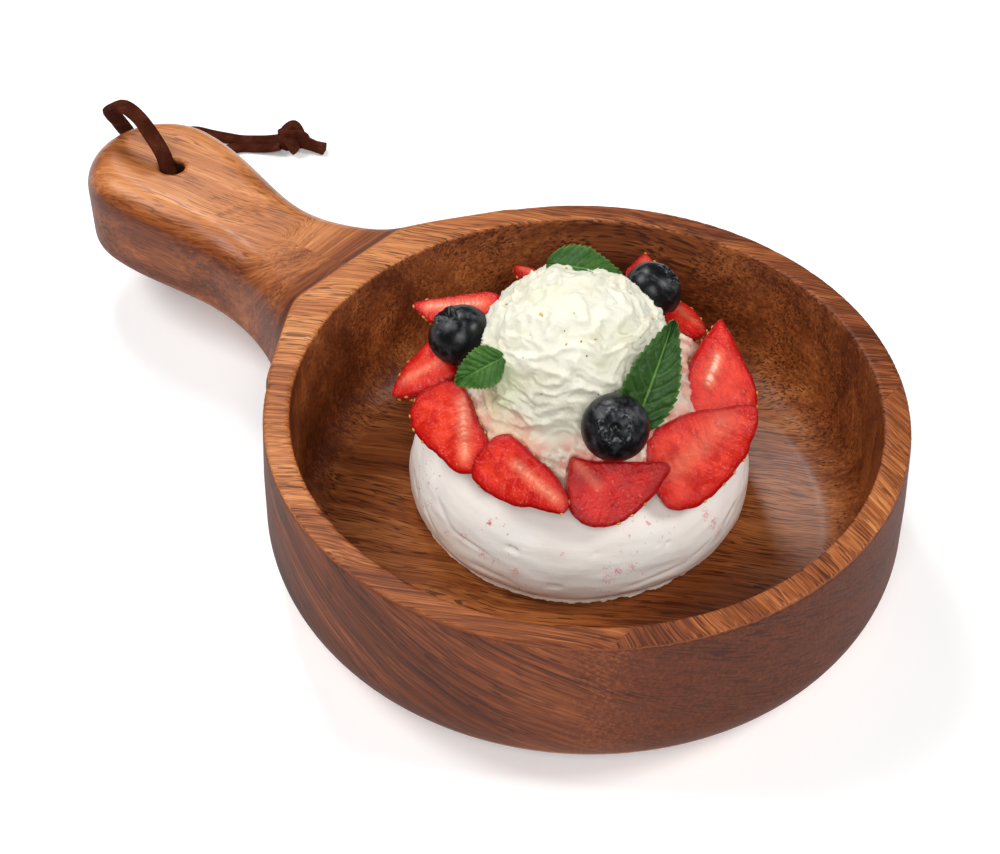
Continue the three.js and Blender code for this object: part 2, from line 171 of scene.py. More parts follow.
def noise(points, size, shift=0):
    """Smooth gradient noise from about -1 to 1, whose lumps are about `size` across."""
    p = np.asarray(points, float) / np.asarray(size, float) + shift
    cell = np.floor(p).astype(int)
    part = p - cell
    fade = part**3 * (part * (part * 6 - 15) + 10)
    total = np.zeros(len(p))
    for corner in np.ndindex(2, 2, 2):
        i, j, k = ((cell + corner) % NOISE_SIZE).T
        pick = NOISE_ORDER[(NOISE_ORDER[(NOISE_ORDER[i] + j) % NOISE_SIZE] + k) % NOISE_SIZE]
        weight = np.prod(np.where(corner, fade, 1 - fade), axis=1)
        total += np.einsum("ij,ij->i", NOISE_SLOPES[pick], part - corner) * weight
    return 1.6 * total


def ridges(points, size, shift=0):
    """Noise with sharp crests, from 0 to 1."""
    return 1 - np.minimum(np.abs(noise(points, size, shift)) * 1.8, 1)


# ---- pieces from meshes


def in_scene(name, data):
    thing = bpy.data.objects.new(name, data)
    bpy.context.scene.collection.objects.link(thing)
    return thing


def piece(name, points, faces, material, replaced=(), values=None, normals=None):
    """Makes a piece from points in millimetres, and lets it ride with the part."""
    mesh = bpy.data.meshes.new(name)
    mesh.from_pydata((np.asarray(points) * MM).tolist(), [], [list(map(int, f)) for f in faces])
    mesh.polygons.foreach_set("use_smooth", [True] * len(mesh.polygons))
    for key, numbers in (values or {}).items():
        layer = mesh.attributes.new(key, "FLOAT", "POINT")
        layer.data.foreach_set("value", np.asarray(numbers, np.float32))
    if normals is not None:
        mesh.normals_split_custom_set_from_vertices(normals.tolist())
    mesh.materials.append(material)
    thing = in_scene(name, mesh)
    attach(thing, "root")
    if replaced:
        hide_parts(*replaced)
    return thing


def grid_faces(rows, columns, closed_rows=False, closed_columns=True, start=0):
    """Quads between the points of a grid that is stored row by row."""
    i = np.arange(rows if closed_rows else rows - 1)
    j = np.arange(columns if closed_columns else columns - 1)
    i, j = [n.ravel() for n in np.meshgrid(i, j, indexing="ij")]
    down = (i + 1) % rows
    right = (j + 1) % columns
    corners = [i * columns + j, i * columns + right, down * columns + right, down * columns + j]
    return (np.stack(corners, axis=1) + start).tolist()


def ball_faces(rows, columns):
    """Faces of a ball: a first pole, rows of points round it, and a last pole."""
    last = rows * columns + 1
    faces = grid_faces(rows, columns, start=1)
    for j in range(columns):
        right = (j + 1) % columns
        faces += [[0, 1 + right, 1 + j], [last, last - columns + j, last - columns + right]]
    return [face[::-1] for face in faces]


def ball_points(rows, columns):
    """Points of a unit ball about +Z, from the top pole to the bottom pole."""
    turn = np.linspace(0, 2 * np.pi, columns, endpoint=False)
    tilt = np.linspace(0, np.pi, rows + 2)[1:-1]
    tilt, turn = [n.ravel() for n in np.meshgrid(tilt, turn, indexing="ij")]
    ring = np.stack([np.sin(tilt) * np.cos(turn), np.sin(tilt) * np.sin(turn), np.cos(tilt)], axis=1)
    return np.concatenate([[[0, 0, 1]], ring, [[0, 0, -1]]])


def merged(parts):
    """One list of points and one of faces from several."""
    points, faces, count = [], [], 0
    for part_points, part_faces in parts:
        points.append(part_points)
        faces += [[n + count for n in face] for face in part_faces]
        count += len(part_points)
    return np.concatenate(points), faces


# ---- solids from distance functions


def both(a, b, radius):
    """The distance to what is in both a and b, with the edge between them rounded."""
    u = a + radius
    v = b + radius
    return np.minimum(np.maximum(u, v), 0) + np.hypot(np.maximum(u, 0), np.maximum(v, 0)) - radius


def either(a, b, blend):
    """The distance to what is in a or in b, with the corner between them filled."""
    h = np.clip(0.5 + 0.5 * (b - a) / blend, 0, 1)
    return b * (1 - h) + a * h - blend * h * (1 - h)


def skin(distance, low, high, pitch):
    """The surface where a distance function is zero, as points and quads (surface nets)."""
    axes = [np.arange(a, b + pitch, pitch) for a, b in zip(low, high)]
    field = distance(*np.meshgrid(*axes, indexing="ij", sparse=True)).astype(np.float32)
    cells = np.array(field.shape) - 1
    total = np.zeros((*cells, 3), np.float32)
    count = np.zeros(cells, np.float32)
    crossings = []
    for axis in range(3):
        a, b = np.delete(field, -1, axis), np.delete(field, 0, axis)
        edges = np.argwhere((a < 0) != (b < 0))
        a, b = a[tuple(edges.T)], b[tuple(edges.T)]
        at = edges.astype(np.float32)
        at[:, axis] += a / (a - b)
        loop = []
        for steps in ((-1, -1), (0, -1), (0, 0), (-1, 0)):
            cell = edges.copy()
            cell[:, [(axis + 1) % 3, (axis + 2) % 3]] += steps
            loop.append(cell)
            good = np.all((cell >= 0) & (cell < cells), axis=1)
            np.add.at(total, tuple(cell[good].T), at[good])
            np.add.at(count, tuple(cell[good].T), 1)
        crossings.append((loop, a < 0))
    used = np.nonzero(count)
    number = np.full(cells, -1)
    number[used] = np.arange(len(used[0]))
    faces = []
    for loop, starts_inside in crossings:
        quads = np.stack([number[tuple(cell.T)] for cell in loop], axis=1)
        quads[~starts_inside] = quads[~starts_inside][:, ::-1]
        faces.append(quads)
    points = np.asarray(low) + pitch * total[used] / count[used][:, None]
    return points.astype(float), np.concatenate(faces)


def slope(distance, points, step=0.05):
    rise = [distance(*(points + move).T) - distance(*(points - move).T) for move in np.eye(3) * step]
    return np.stack(rise, axis=1) / (2 * step)


def settled(distance, points, faces, rounds=3):
    """Evens the points of a skin out and puts them back on the surface, with its normals."""
    for _ in range(rounds):
        total = np.zeros_like(points)
        count = np.zeros(len(points))
        for turn in (1, -1):
            np.add.at(total, faces, points[np.roll(faces, turn, axis=1)])
            np.add.at(count, faces, 1)
        points = 0.5 * points + 0.5 * total / count[:, None]
        for _ in range(2):
            steep = slope(distance, points)
            size = np.maximum(np.einsum("ij,ij->i", steep, steep), 0.05)
            points = points - steep * (distance(*points.T) / size)[:, None]
    return points, unit(slope(distance, points))


# ---- shader nodes


class Shader:
    """A material that is put together from short lines; at is where a point is, in millimetres."""

    def __init__(self, name):
        self.material = bpy.data.materials.new(name)
        self.material.use_nodes = True
        self.tree = self.material.node_tree
        self.body = self.tree.nodes["Principled BSDF"]
        place = self.node("TexCoord").outputs["Object"]
        self.at = self.node("VectorMath", {"operation": "SCALE"}, Vector=place, Scale=1 / MM).outputs[0]

    def put(self, socket, value):
        if isinstance(value, bpy.types.NodeSocket):
            self.tree.links.new(value, socket)
        elif socket.type == "RGBA":
            socket.default_value = (*value, 1)
        else:
            socket.default_value = value

    def node(self, kind, settings=None, **inputs):
        made = self.tree.nodes.new("ShaderNode" + kind)
        for key, value in (settings or {}).items():
            setattr(made, key, value)
        for key, value in inputs.items():
            self.put(made.inputs[key.replace("_", " ")], value)
        return made

    def math(self, operation, *values):
        made = self.node("Math", {"operation": operation})
        for socket, value in zip(made.inputs, values):
            self.put(socket, value)
        return made.outputs[0]

    def times(self, first, *others):
        for other in others:
            first = self.math("MULTIPLY", first, other)
        return first

    def plus(self, first, second):
        return self.math("ADD", first, second)

    def less(self, first, second):
        return self.math("SUBTRACT", first, second)

    def scaled(self, value, factor, added):
        return self.math("MULTIPLY_ADD", value, factor, added)

    def split(self):
        return self.node("SeparateXYZ", Vector=self.at).outputs

    def vector(self, x, y, z=0):
        return self.node("CombineXYZ", X=x, Y=y, Z=z).outputs[0]

    def length(self, x, y):
        return self.node("VectorMath", {"operation": "LENGTH"}, Vector=self.vector(x, y)).outputs["Value"]

    def noise(self, scale, detail, roughness=0.5, distortion=0, at=None):
        made = self.node("TexNoise", Vector=self.at if at is None else at, Scale=scale, Detail=detail,
                         Roughness=roughness, Distortion=distortion)
        return made.outputs["Fac"]

    def range(self, value, low, high, to_low=0, to_high=1):
        made = self.node("MapRange", {"interpolation_type": "SMOOTHSTEP"}, Value=value,
                         From_Min=low, From_Max=high, To_Min=to_low, To_Max=to_high)
        return made.outputs["Result"]

    def mix(self, first, second, *shares):
        """The first color with the second over it, as much as the product of the shares says."""
        made = self.node("Mix", {"data_type": "RGBA"})
        wanted = {"Factor_Float": self.times(*shares), "A_Color": first, "B_Color": second}
        for socket in made.inputs:
            if socket.identifier in wanted:
                self.put(socket, wanted[socket.identifier])
        return next(s for s in made.outputs if s.identifier == "Result_Color")

    def ramp(self, value, *stops):
        made = self.node("ValToRGB", Fac=value)
        marks = made.color_ramp.elements
        while len(marks) < len(stops):
            marks.new(0.5)
        for mark, (position, color) in zip(marks, stops):
            mark.position = position
            mark.color = (*color, 1)
        return made.outputs["Color"]

    def value(self, name):
        return self.node("Attribute", {"attribute_name": name}).outputs["Fac"]

    def bump(self, height, strength, distance):
        made = self.node("Bump", Height=height, Strength=strength, Distance=distance * MM)
        self.put(self.body.inputs["Normal"], made.outputs["Normal"])

    def finish(self, color, rough, specular=0.5, inside=(), **inputs):
        """Sets the surface; inside is how much light goes in, how far in metres, and its scale."""
        inputs.update(Base_Color=color, Roughness=rough, Specular_IOR_Level=specular)
        inputs.update(zip(("Subsurface_Weight", "Subsurface_Radius", "Subsurface_Scale"), inside))
        for key, value in inputs.items():
            self.put(self.body.inputs[key.replace("_", " ")], value)
        return self.material


# ---- camera

CAMERA_AT = (254.88, -323.09, 435.93)
CAMERA_FORWARD = (-0.48049, 0.54093, -0.6903)
LENS = 72.32

camera_data = bpy.data.cameras.new("camera")
camera_data.lens = LENS
camera_data.sensor_width = 36
camera_data.clip_start = 0.01
camera_data.clip_end = 20
camera = in_scene("camera", camera_data)
camera.location = Vector(CAMERA_AT) * MM
camera.rotation_euler = Vector(CAMERA_FORWARD).to_track_quat("-Z", "Y").to_euler()
bpy.context.scene.camera = camera
bpy.context.scene.view_settings.view_transform = "Standard"

# ---- thong

# A point without a height lies on the table.
# This strand rises from the hole, arches over the handle's end and falls to the table.
OVER_ROUTE = [
    (-173.3, 0, 34.3), (-173.5, -0.3, 42), (-174.6, -0.9, 50), (-177.1, -0.3, 53.8), (-182.5, 0, 58.9),
    (-186.7, 0, 62.3), (-192.2, 0, 63.8), (-197.3, 0.3, 62.9), (-202.8, 1.2, 59.2), (-207.3, 4, 53.6),
    (-210, 8.4, 46.2), (-212.2, 13, 38), (-215.6, 19, 28.5), (-221, 26.5, 18.5), (-228.2, 35, 9.5),
    (-235, 43.5, 4), (-239.5, 50.5), (-240.8, 56.5), (-238.2, 61), (-232.4, 63.4), (-226.6, 66),
    (-221.1, 68.8), (-216.3, 72, 1.95), (-211.7, 75, 2.65), (-208.4, 77.1, 3.45),
]
# this one leaves the hole's underside and runs below the handle to the table
UNDER_ROUTE = [
    (-173.3, 0, 33.7), (-173.3, 0, 27), (-173.4, 0.2, 20), (-174.4, 2, 13.4), (-178, 7, 7.6),
    (-184.4, 15.4, 3.4), (-192, 25.6), (-201, 36), (-210.4, 45), (-217.6, 52.6), (-220.4, 60),
    (-217.6, 66), (-213.4, 69.4), (-209.3, 72, 2.25), (-205.6, 74.6, 3.25),
]
# the knot's wraps and its two cut ends, from its middle
KNOT_WRAPS = [
    [(-3.4, -2.6, -2), (-3.6, 0.6, 1.6), (-2.2, 3.4, 2.8), (0.4, 3.6, 0), (1.2, 1, -2.6), (-0.8, -2.4, -2.9)],
    [(-0.6, -3.2, 1), (1.6, -1.6, 3), (3.4, 1.4, 1.8), (3, 3, -1.4), (1.2, 0.8, -3), (-0.4, -2.6, -1.8)],
    [(-4.6, 0.4, -0.6), (-3, -1.2, 2.2), (0.2, -2.8, 2.4), (3.6, -3, -0.2), (2.8, -1.6, -2.8),
     (-2, 0.8, -2.8)],
]
KNOT_TAILS = [
    [(1, 0.4, 0.4), (4.4, 1.6, -0.2), (8, 3.4, -1.6), (11.6, 4.8, -2.2)],
    [(1, 1.6, -1.6), (4, 3.2, -2.4), (7.6, 5, -2.9), (10.6, 6.2, -2.9)],
]
STRIP_SIDES = 14


def strip(path, first_side, closed=False, width=STRIP_WIDTH, thickness=STRIP_THICKNESS, lie_flat=True):
    """A flat strip of suede swept along a path, which turns level where the path is level."""
    ahead = np.roll(path, -1, axis=0) - np.roll(path, 1, axis=0)
    if not closed:
        ahead[0] = path[1] - path[0]
        ahead[-1] = path[-1] - path[-2]
    angle = np.linspace(0, 2 * np.pi, STRIP_SIDES, endpoint=False)
    across, up = [np.sign(n) * np.abs(n) ** 0.6 / 2 for n in (np.cos(angle), np.sin(angle))]
    side = np.asarray(first_side, float)
    points = []
    for at, along, wear in zip(path, unit(ahead), 1 + 0.05 * noise(path, 5)):
        side = unit(side - along * side.dot(along))
        level = np.cross([0, 0, 1], along)
        flatness = np.linalg.norm(level)
        if lie_flat and flatness > 0.3:
            level = level / flatness * np.sign(level.dot(side) or 1)
            side = unit(side + 0.12 * flatness * level)
        above = np.cross(along, side)
        points.append(at + np.outer(across * width * wear, side) + np.outer(up * thickness, above))
    points = np.concatenate(points)
    faces = grid_faces(len(path), STRIP_SIDES, closed_rows=closed)
    if not closed:
        last = len(points) - 1
        faces += [list(range(STRIP_SIDES)), list(range(last, last - STRIP_SIDES, -1))]
    return points, faces


def suede():
    s = Shader("suede")
    nap = s.noise(2.6, 4, 0.7)
    patch = s.noise(0.25, 2)
    color = s.ramp(s.scaled(patch, 0.5, s.times(nap, 0.5)),
                   (0.3, (0.026, 0.006, 0.003)), (0.5, (0.06, 0.014, 0.007)), (0.7, (0.11, 0.032, 0.018)))
    s.bump(nap, 0.6, 0.35)
    return s.finish(color, 0.95, 0.02)


SUEDE = suede()


def strand(name, route):
    path = through([(*at, TABLE_LIFT)[:3] for at in route], 5)
    path[:, 2] -= STRIP_DROP * (1 - smoothstep(path[:, 2], TABLE_LIFT, TABLE_LIFT + 3))
    points, faces = strip(path, (0, 1, 0))
    points[:, 2] = np.maximum(points[:, 2], 0)
    thong = piece("suede_" + name, points, faces, SUEDE, ["thong_" + name])


def make_thong():
    parts = [strip(through(np.add(wrap, KNOT), 8, closed=True), (0.4, 0.3, 0.8), closed=True,
                   width=4.4, thickness=2.6, lie_flat=False) for wrap in KNOT_WRAPS]
    parts += [strip(through(np.add(tail, KNOT), 8), (0, 0.5, 0.9), width=4.2, thickness=2.4, lie_flat=False)
              for tail in KNOT_TAILS]
    heart = ball_points(14, 20)
    heart = heart * (3.6, 3, 2.8) * (1 + 0.12 * noise(heart, 0.9))[:, None]
    parts.append((heart + KNOT, ball_faces(14, 20)))
    points, faces = merged(parts)
    points[:, 2] = np.maximum(points[:, 2], 0.12)
    knot = piece("suede_knot", points, faces, SUEDE, ["thong_knot"])
    strand("over", OVER_ROUTE)
    strand("under", UNDER_ROUTE)


make_thong()

# ---- bowl and handle


def handle_outline():
    """Half of the handle's outline from above, as (along, across), from its round end to its root."""
    end_at = HANDLE_LENGTH - GRIP_HALF_WIDTH
    flare_out = NECK_HALF_WIDTH + FLARE_RADIUS
    reach = RIM_RADIUS + FLARE_RADIUS
    neck_at = sqrt(reach**2 - flare_out**2)
    outline = arc((end_at, 0), (GRIP_HALF_WIDTH, GRIP_HALF_WIDTH), 0, 90, 24)
    for along in np.linspace(end_at, neck_at, 24, endpoint=False)[1:]:
        share = float(smoothstep(along, neck_at, GRIP_AT))
        outline.append((along, NECK_HALF_WIDTH + (GRIP_HALF_WIDTH - NECK_HALF_WIDTH) * share))
    for turn in np.linspace(0, acos(flare_out / reach), 24):
        outline.append((neck_at - FLARE_RADIUS * sin(turn), flare_out - FLARE_RADIUS * cos(turn)))
    root_at, root_width = outline[-1]
    outline += arc((root_at, 0), (-ROOT_LENGTH, root_width), 90, 0, 8)[1:]
    return np.array(outline), root_at


HANDLE_OUTLINE, HANDLE_ROOT = handle_outline()
# closed along the handle's middle line, a little beyond it so that the line itself is inside
HALF_HANDLE = np.array([*HANDLE_OUTLINE, (HANDLE_OUTLINE[-1][0], -1), (HANDLE_OUTLINE[0][0], -1)])


def outline_distance(x, y, corners, counted=None):
    """Signed distance in a plane to a closed outline; only its first `counted` sides count."""
    x, y = np.broadcast_arrays(x, y)
    nearest = np.full(x.shape, 1e9)
    inside = np.zeros(x.shape, bool)
    for k, ((a, b), (c, d)) in enumerate(zip(corners, np.roll(corners, -1, axis=0))):
        if counted is None or k < counted:
            share = ((x - a) * (c - a) + (y - b) * (d - b)) / ((c - a) ** 2 + (d - b) ** 2)
            share = np.clip(share, 0, 1)
            nearest = np.minimum(nearest, np.hypot(x - a - share * (c - a), y - b - share * (d - b)))
        if b != d:
            crosses = (b > y) != (d > y)
            inside ^= crosses & (x < (c - a) * (y - b) / (d - b) + a)
    return np.where(inside, -nearest, nearest)


def handle_distance(x, y, z):
    along = -x
    offset = GRIP_OFFSET * smoothstep(along, HANDLE_ROOT, HANDLE_LENGTH)
    plan = outline_distance(along, np.abs(y - offset), HALF_HANDLE, len(HANDLE_OUTLINE) - 1)
    dip = NECK_DIP * hump(along, NECK_DIP_AT, NECK_DIP_LENGTH)
    rise = 8 * hump(np.maximum(along, 80), 80, 14)
    top = both(plan, z - (HANDLE_TOP - dip + rise), TOP_EDGE)
    return np.maximum(top, both(plan, HANDLE_UNDERSIDE - z, BOTTOM_EDGE))


def bowl_distance(x, y, z):
    r = np.hypot(x, y)
    corner = BELLY_RADIUS - BASE_RADIUS
    bend = np.hypot(np.maximum(r - BASE_RADIUS, 0) / corner, np.maximum(CORNER_HEIGHT - z, 0) / CORNER_HEIGHT)
    side = r - np.interp(z, [CORNER_HEIGHT, 36, RIM_HEIGHT], [BELLY_RADIUS, BELLY_RADIUS - 0.4, RIM_RADIUS])
    in_corner = (r > BASE_RADIUS) & (z < CORNER_HEIGHT)
    outside = np.where(in_corner, (bend - 1) * CORNER_HEIGHT, np.maximum(side, -z))
    outside = either(outside, handle_distance(x, y, z), 5)
    wall = RIM_RADIUS - RIM_WIDTH
    middle = wall - FLOOR_FILLET
    level = FLOOR_HEIGHT + FLOOR_FILLET
    fillet = np.hypot(r - middle, z - level) - FLOOR_FILLET
    hollow = np.where((r > middle) & (z < level), fillet, np.maximum(r - wall, FLOOR_HEIGHT - z))
    hole = HOLE_RADIUS - np.hypot(x + HOLE_AT, y)
    solid = both(both(outside, z - RIM_HEIGHT, RIM_ROUNDING), hole, 1.2)
    return both(solid, -hollow, RIM_ROUNDING)


SEAM_AT = 62  # the last block of the bowl is glued on here


def grain_directions(s, x, y, z, outer_wall):
    """How far a point is along the grain and across it, and whether it is in the glued block."""
    sway = s.times(s.less(s.noise(0.012, 2), 0.5), 30)
    # the grain turns where the handle meets the bowl, and the block has its own
    bowl_turn = s.math("SMOOTH_MAX", s.plus(x, 112), 0, 20)
    main_line = s.scaled(bowl_turn, 0.36, s.times(x, 0.24))
    block_line = s.scaled(x, -0.36, 61)
    # the joint is sharp on the rim and lost in the figure of the outer wall
    uneven = s.times(s.less(s.noise(0.09, 2), 0.5), outer_wall, 16)
    past_seam = s.plus(s.less(x, s.scaled(outer_wall, -5.5, SEAM_AT)), uneven)
    blur = s.scaled(outer_wall, 5, 0.12)
    is_block = s.range(past_seam, s.times(blur, -1), blur)
    line = s.scaled(is_block, s.less(block_line, main_line), main_line)
    across = s.plus(s.less(y, line), sway)
    # on the outer wall the figure runs round the bowl and falls away from the handle
    wall_run = s.scaled(s.math("ARCTAN2", y, x), RIM_RADIUS, 150)
    wall_across = s.scaled(wall_run, 0.42, s.scaled(sway, 0.6, z))
    run = s.scaled(outer_wall, s.less(wall_run, x), x)
    across = s.scaled(outer_wall, s.less(wall_across, across), across)
    lift = s.scaled(sway, 0.5, s.times(z, s.less(1, outer_wall)))
    return run, across, lift, is_block, past_seam


def wood():
    s = Shader("oiled_acacia")
    x, y, z = s.split()
    from_axis = s.length(x, y)
    on_handle = s.range(x, -80, -125)
    on_rim = s.range(z, 53, 53.7)
    in_bowl = s.range(from_axis, 82.9, 82.4)
    on_wall = s.times(in_bowl, s.range(from_axis, 74, 81))
    outer_wall = s.times(s.range(from_axis, 88.5, 89.8), s.less(1, on_rim), s.less(1, on_handle))
    towards_front = s.scaled(x, 0.664, s.times(y, -0.748))
    run, across, lift, is_block, past_seam = grain_directions(s, x, y, z, outer_wall)

    def grain(along_scale, across_scale, detail, roughness=0.5, distortion=0):
        stretched = s.vector(s.times(run, along_scale), s.times(across, across_scale),
                             s.times(lift, across_scale * 0.8))
        return s.noise(1, detail, roughness, distortion, stretched)

    bands = grain(0.004, 0.045, 1, 0.5, 0.4)
    lines = grain(0.008, 0.16, 2)
    streaks = grain(0.012, 0.75, 3, 0.6)
    fibres = grain(0.05, 2, 1)
    pores = s.range(grain(0.15, 1.75, 0), s.scaled(on_handle, 0.015, 0.572), 0.64)
    clusters = s.range(grain(0.02, 0.12, 1), 0.36, 0.6)
    flecks = s.noise(0.9, 2, 0.6)
    # end grain has less figure and more flecks
    end_grain = s.times(outer_wall, is_block)
    figure = s.scaled(end_grain, -0.8, 1)
    # what is added to the tone, and the shares that say where: the grain, figure and flecks of the wood
    # first, then painted light and shade
    grain_and_painted_light = [
        (0.6, s.less(bands, 0.5), figure),
        (0.45, s.less(lines, 0.5), figure),
        (s.scaled(on_handle, -0.2, 0.62), s.less(streaks, 0.5), figure),
        (s.scaled(on_rim, 0.35, 0.3), s.less(fibres, 0.5), figure),
        (0.42, s.less(flecks, 0.5), end_grain),
        # painted light and shade: the handle is a little darker overall, lighter on top where the light
        # falls, and darker along its near edge, at its end and low on the side by its end, where it is in
        # shade
        (-0.1, on_handle),
        (0.27, on_handle, s.range(z, 41, 50)),
        (-0.11, on_handle, s.range(z, 36, 43), s.range(z, 50, 44)),
        (-0.12, on_handle, s.range(x, -185, -205)),
        (-0.12, on_handle, s.range(x, -150, -185), s.range(z, 46, 42)),
        # painted light and shade: the rim is lighter towards the handle and at the right, and darker at the
        # back and at the front, by how the light falls on it
        (0.1, on_rim, s.range(x, 60, -80)),
        (-0.2, on_rim, s.range(y, 20, 70)),
        (-0.17, on_rim, s.range(towards_front, 40, 80)),
        (0.06, on_rim, s.range(x, 40, 70), s.range(towards_front, 50, 10)),
        # painted shade: the inner wall is darker, and so is the floor in front of the meringue, with a
        # painted shadow on the floor between the meringue and the front wall on the right
        (-0.19, on_wall),
        (-0.13, in_bowl, s.range(towards_front, 5, 45)),
        (-0.2, in_bowl, s.range(x, 22, 45), s.range(y, 22, -8)),
        # painted light and shade: the outer wall is darker overall, darkest low down on the left and at the
        # right, with a painted lighter patch between
        (-0.31, outer_wall),
        (-0.14, outer_wall, s.range(z, 30, 8), s.range(x, 50, 30), s.range(x, -60, -20)),
        (0.08, outer_wall, s.range(x, 25, 48), s.range(x, 72, 60)),
        (-0.04, outer_wall, s.range(x, 62, 82)),
    ]
    tone = 0.6
    for shade in grain_and_painted_light:
        tone = s.plus(s.times(*shade), tone)
    color = s.ramp(tone, (0.1, (0.04, 0.008, 0.002)), (0.34, (0.13, 0.029, 0.008)),
                   (0.54, (0.28, 0.077, 0.02)), (0.74, (0.48, 0.165, 0.048)), (1, (0.72, 0.31, 0.115)))
    dark = s.mix(color, (0.035, 0.008, 0.003), s.scaled(on_handle, -0.25, 0.78))
    color = s.mix(color, dark, pores, s.scaled(clusters, 0.6, 0.35))
    seam = s.times(s.math("COMPARE", past_seam, 0, 0.16), s.less(1, outer_wall))
    color = s.mix(color, (0.04, 0.012, 0.006), seam, 0.15)
    # painted shade: the inside of the hole is darkened, as shade falls in it
    painted_hole_shade = s.range(s.length(s.plus(x, HOLE_AT), y), 5, 4.3)
    color = s.mix(color, (0.02, 0.008, 0.005), painted_hole_shade, s.range(z, 50, 48), 0.9)
    s.bump(s.less(s.times(fibres, 0.35), pores), 0.3, 0.06)
    # the outer wall, the rim and the handle's sides are duller than the inside
    rough = s.scaled(fibres, 0.12, 0.27)
    for shade in ((0.3, outer_wall), (0.18, on_rim), (0.16, on_handle, s.range(z, 46, 38))):
        rough = s.plus(s.times(*shade), rough)
    return s.finish(color, rough, 0.24)


BOWL_PITCH = 1.25
FLOOR_DISH = 0.26  # how far the floor's shading leans towards the middle near its edge


def make_bowl():
    points, faces = skin(bowl_distance, (-208, -95, -3), (95, 95, 57), BOWL_PITCH)
    points, normals = settled(bowl_distance, points, faces)
    points[:, 2] = np.maximum(points[:, 2], 0)
    # the floor's shading leans as if it were very slightly dished; its points stay flat
    r = np.hypot(points[:, 0], points[:, 1])
    on_floor = (points[:, 2] > FLOOR_HEIGHT - 1) & (points[:, 2] < FLOOR_HEIGHT + 5)
    lean = FLOOR_DISH * smoothstep(r, 20, 66) * (1 - smoothstep(r, 71, 79)) * on_floor
    outwards = points * (1, 1, 0) / np.maximum(r, 1e-6)[:, None]
    normals = unit(normals - outwards * lean[:, None])
    piece("wooden_bowl", points, faces, wood(), ["bowl"], normals=normals)


make_bowl()

# ---- meringue

# radius past the base's and height up the side, from the foot to the widest place
MERINGUE_FOOT = [
    (-0.8, 0), (0.8, 0.3), (1.3, 0.8), (1, 1.3), (0.1, 1.9), (0.9, 2.8),
    (MERINGUE_RADIUS - MERINGUE_BASE - 0.85, 4.3), (MERINGUE_RADIUS - MERINGUE_BASE, WIDEST_AT),
]
# bearing, height, slope, half length round, half height and depth; a negative depth is a blister
MERINGUE_DENTS = [
    (-74, 18.5, -0.15, 2, 0.65, 0.75), (-58.2, 9.8, 0, 2.3, 0.5, 0.8), (-37.7, 24.3, 0, 0.8, 0.6, 0.5),
    (-19.6, 19.2, 0.1, 1, 0.6, 0.6), (-23.4, 19.8, 0.1, 0.8, 0.5, 0.4), (-116.8, 20, 0, 1, 1.7, -0.45),
    (-110.6, 10.5, -0.5, 4, 0.6, 0.55), (-90, 14.4, -0.05, 6.4, 0.55, 0.5), (-104, 17, -0.35, 5, 0.8, 0.4),
    (-125, 11.5, -0.3, 4, 0.7, 0.45), (-80, 8, 0, 7, 0.8, 0.35), (-25, 9, 0.12, 9, 0.6, 0.4),
    (-6, 12, 0.25, 4, 0.7, 0.25), (10, 14, 0.2, 5, 1.2, 0.45), (60, 10, 0, 7, 1, 0.5),
    (110, 17, 0.1, 5, 1.3, 0.45), (165, 9, 0, 6, 0.9, 0.5), (-170, 20, 0, 3, 1.2, 0.4),
]
# bearing, height, radius and strength of the marks of pink fruit
MERINGUE_MARKS = [
    (-121, 14, 0.7, 1.3), (-85.3, 22.4, 0.8, 1.4), (-71.3, 12.4, 2.2, 0.55), (-38, 14.6, 1.1, 1.2),
    (-33.5, 15.1, 2, 0.6), (-41, 12.6, 2.3, 0.6), (-2, 20.9, 2, 0.6), (0, 17.4, 1.7, 0.9),
    (2, 13.2, 2.2, 0.6), (-93, 15.2, 2.6, 0.5), (-84, 13.2, 2.4, 0.5), (-100, 12.2, 1.8, 0.45),
    (-57, 20, 0.7, 0.7), (-14, 10.5, 1.6, 0.45), (40, 15, 2.6, 0.7), (95, 12, 3, 0.7),
    (150, 18, 2, 0.8), (-160, 11, 2.6, 0.7),
]
MERINGUE_COLUMNS = 440


def meringue_profile():
    """Radius and height from the middle of the underside up to the middle of the top."""
    profile = [(0, 0), (30, 0)]
    profile += [(MERINGUE_BASE + out, height) for out, height in MERINGUE_FOOT]
    for share in (0.2, 0.37, 0.53, 0.67, 0.79, 0.89, 0.96, 0.99):
        profile.append((MERINGUE_RADIUS * (1 - share**SHOULDER_POWER) ** (1 / SHOULDER_POWER),
                        WIDEST_AT + (MERINGUE_HEIGHT - WIDEST_AT) * share))
    return through([*profile, (12, MERINGUE_HEIGHT)], 8)[1:]


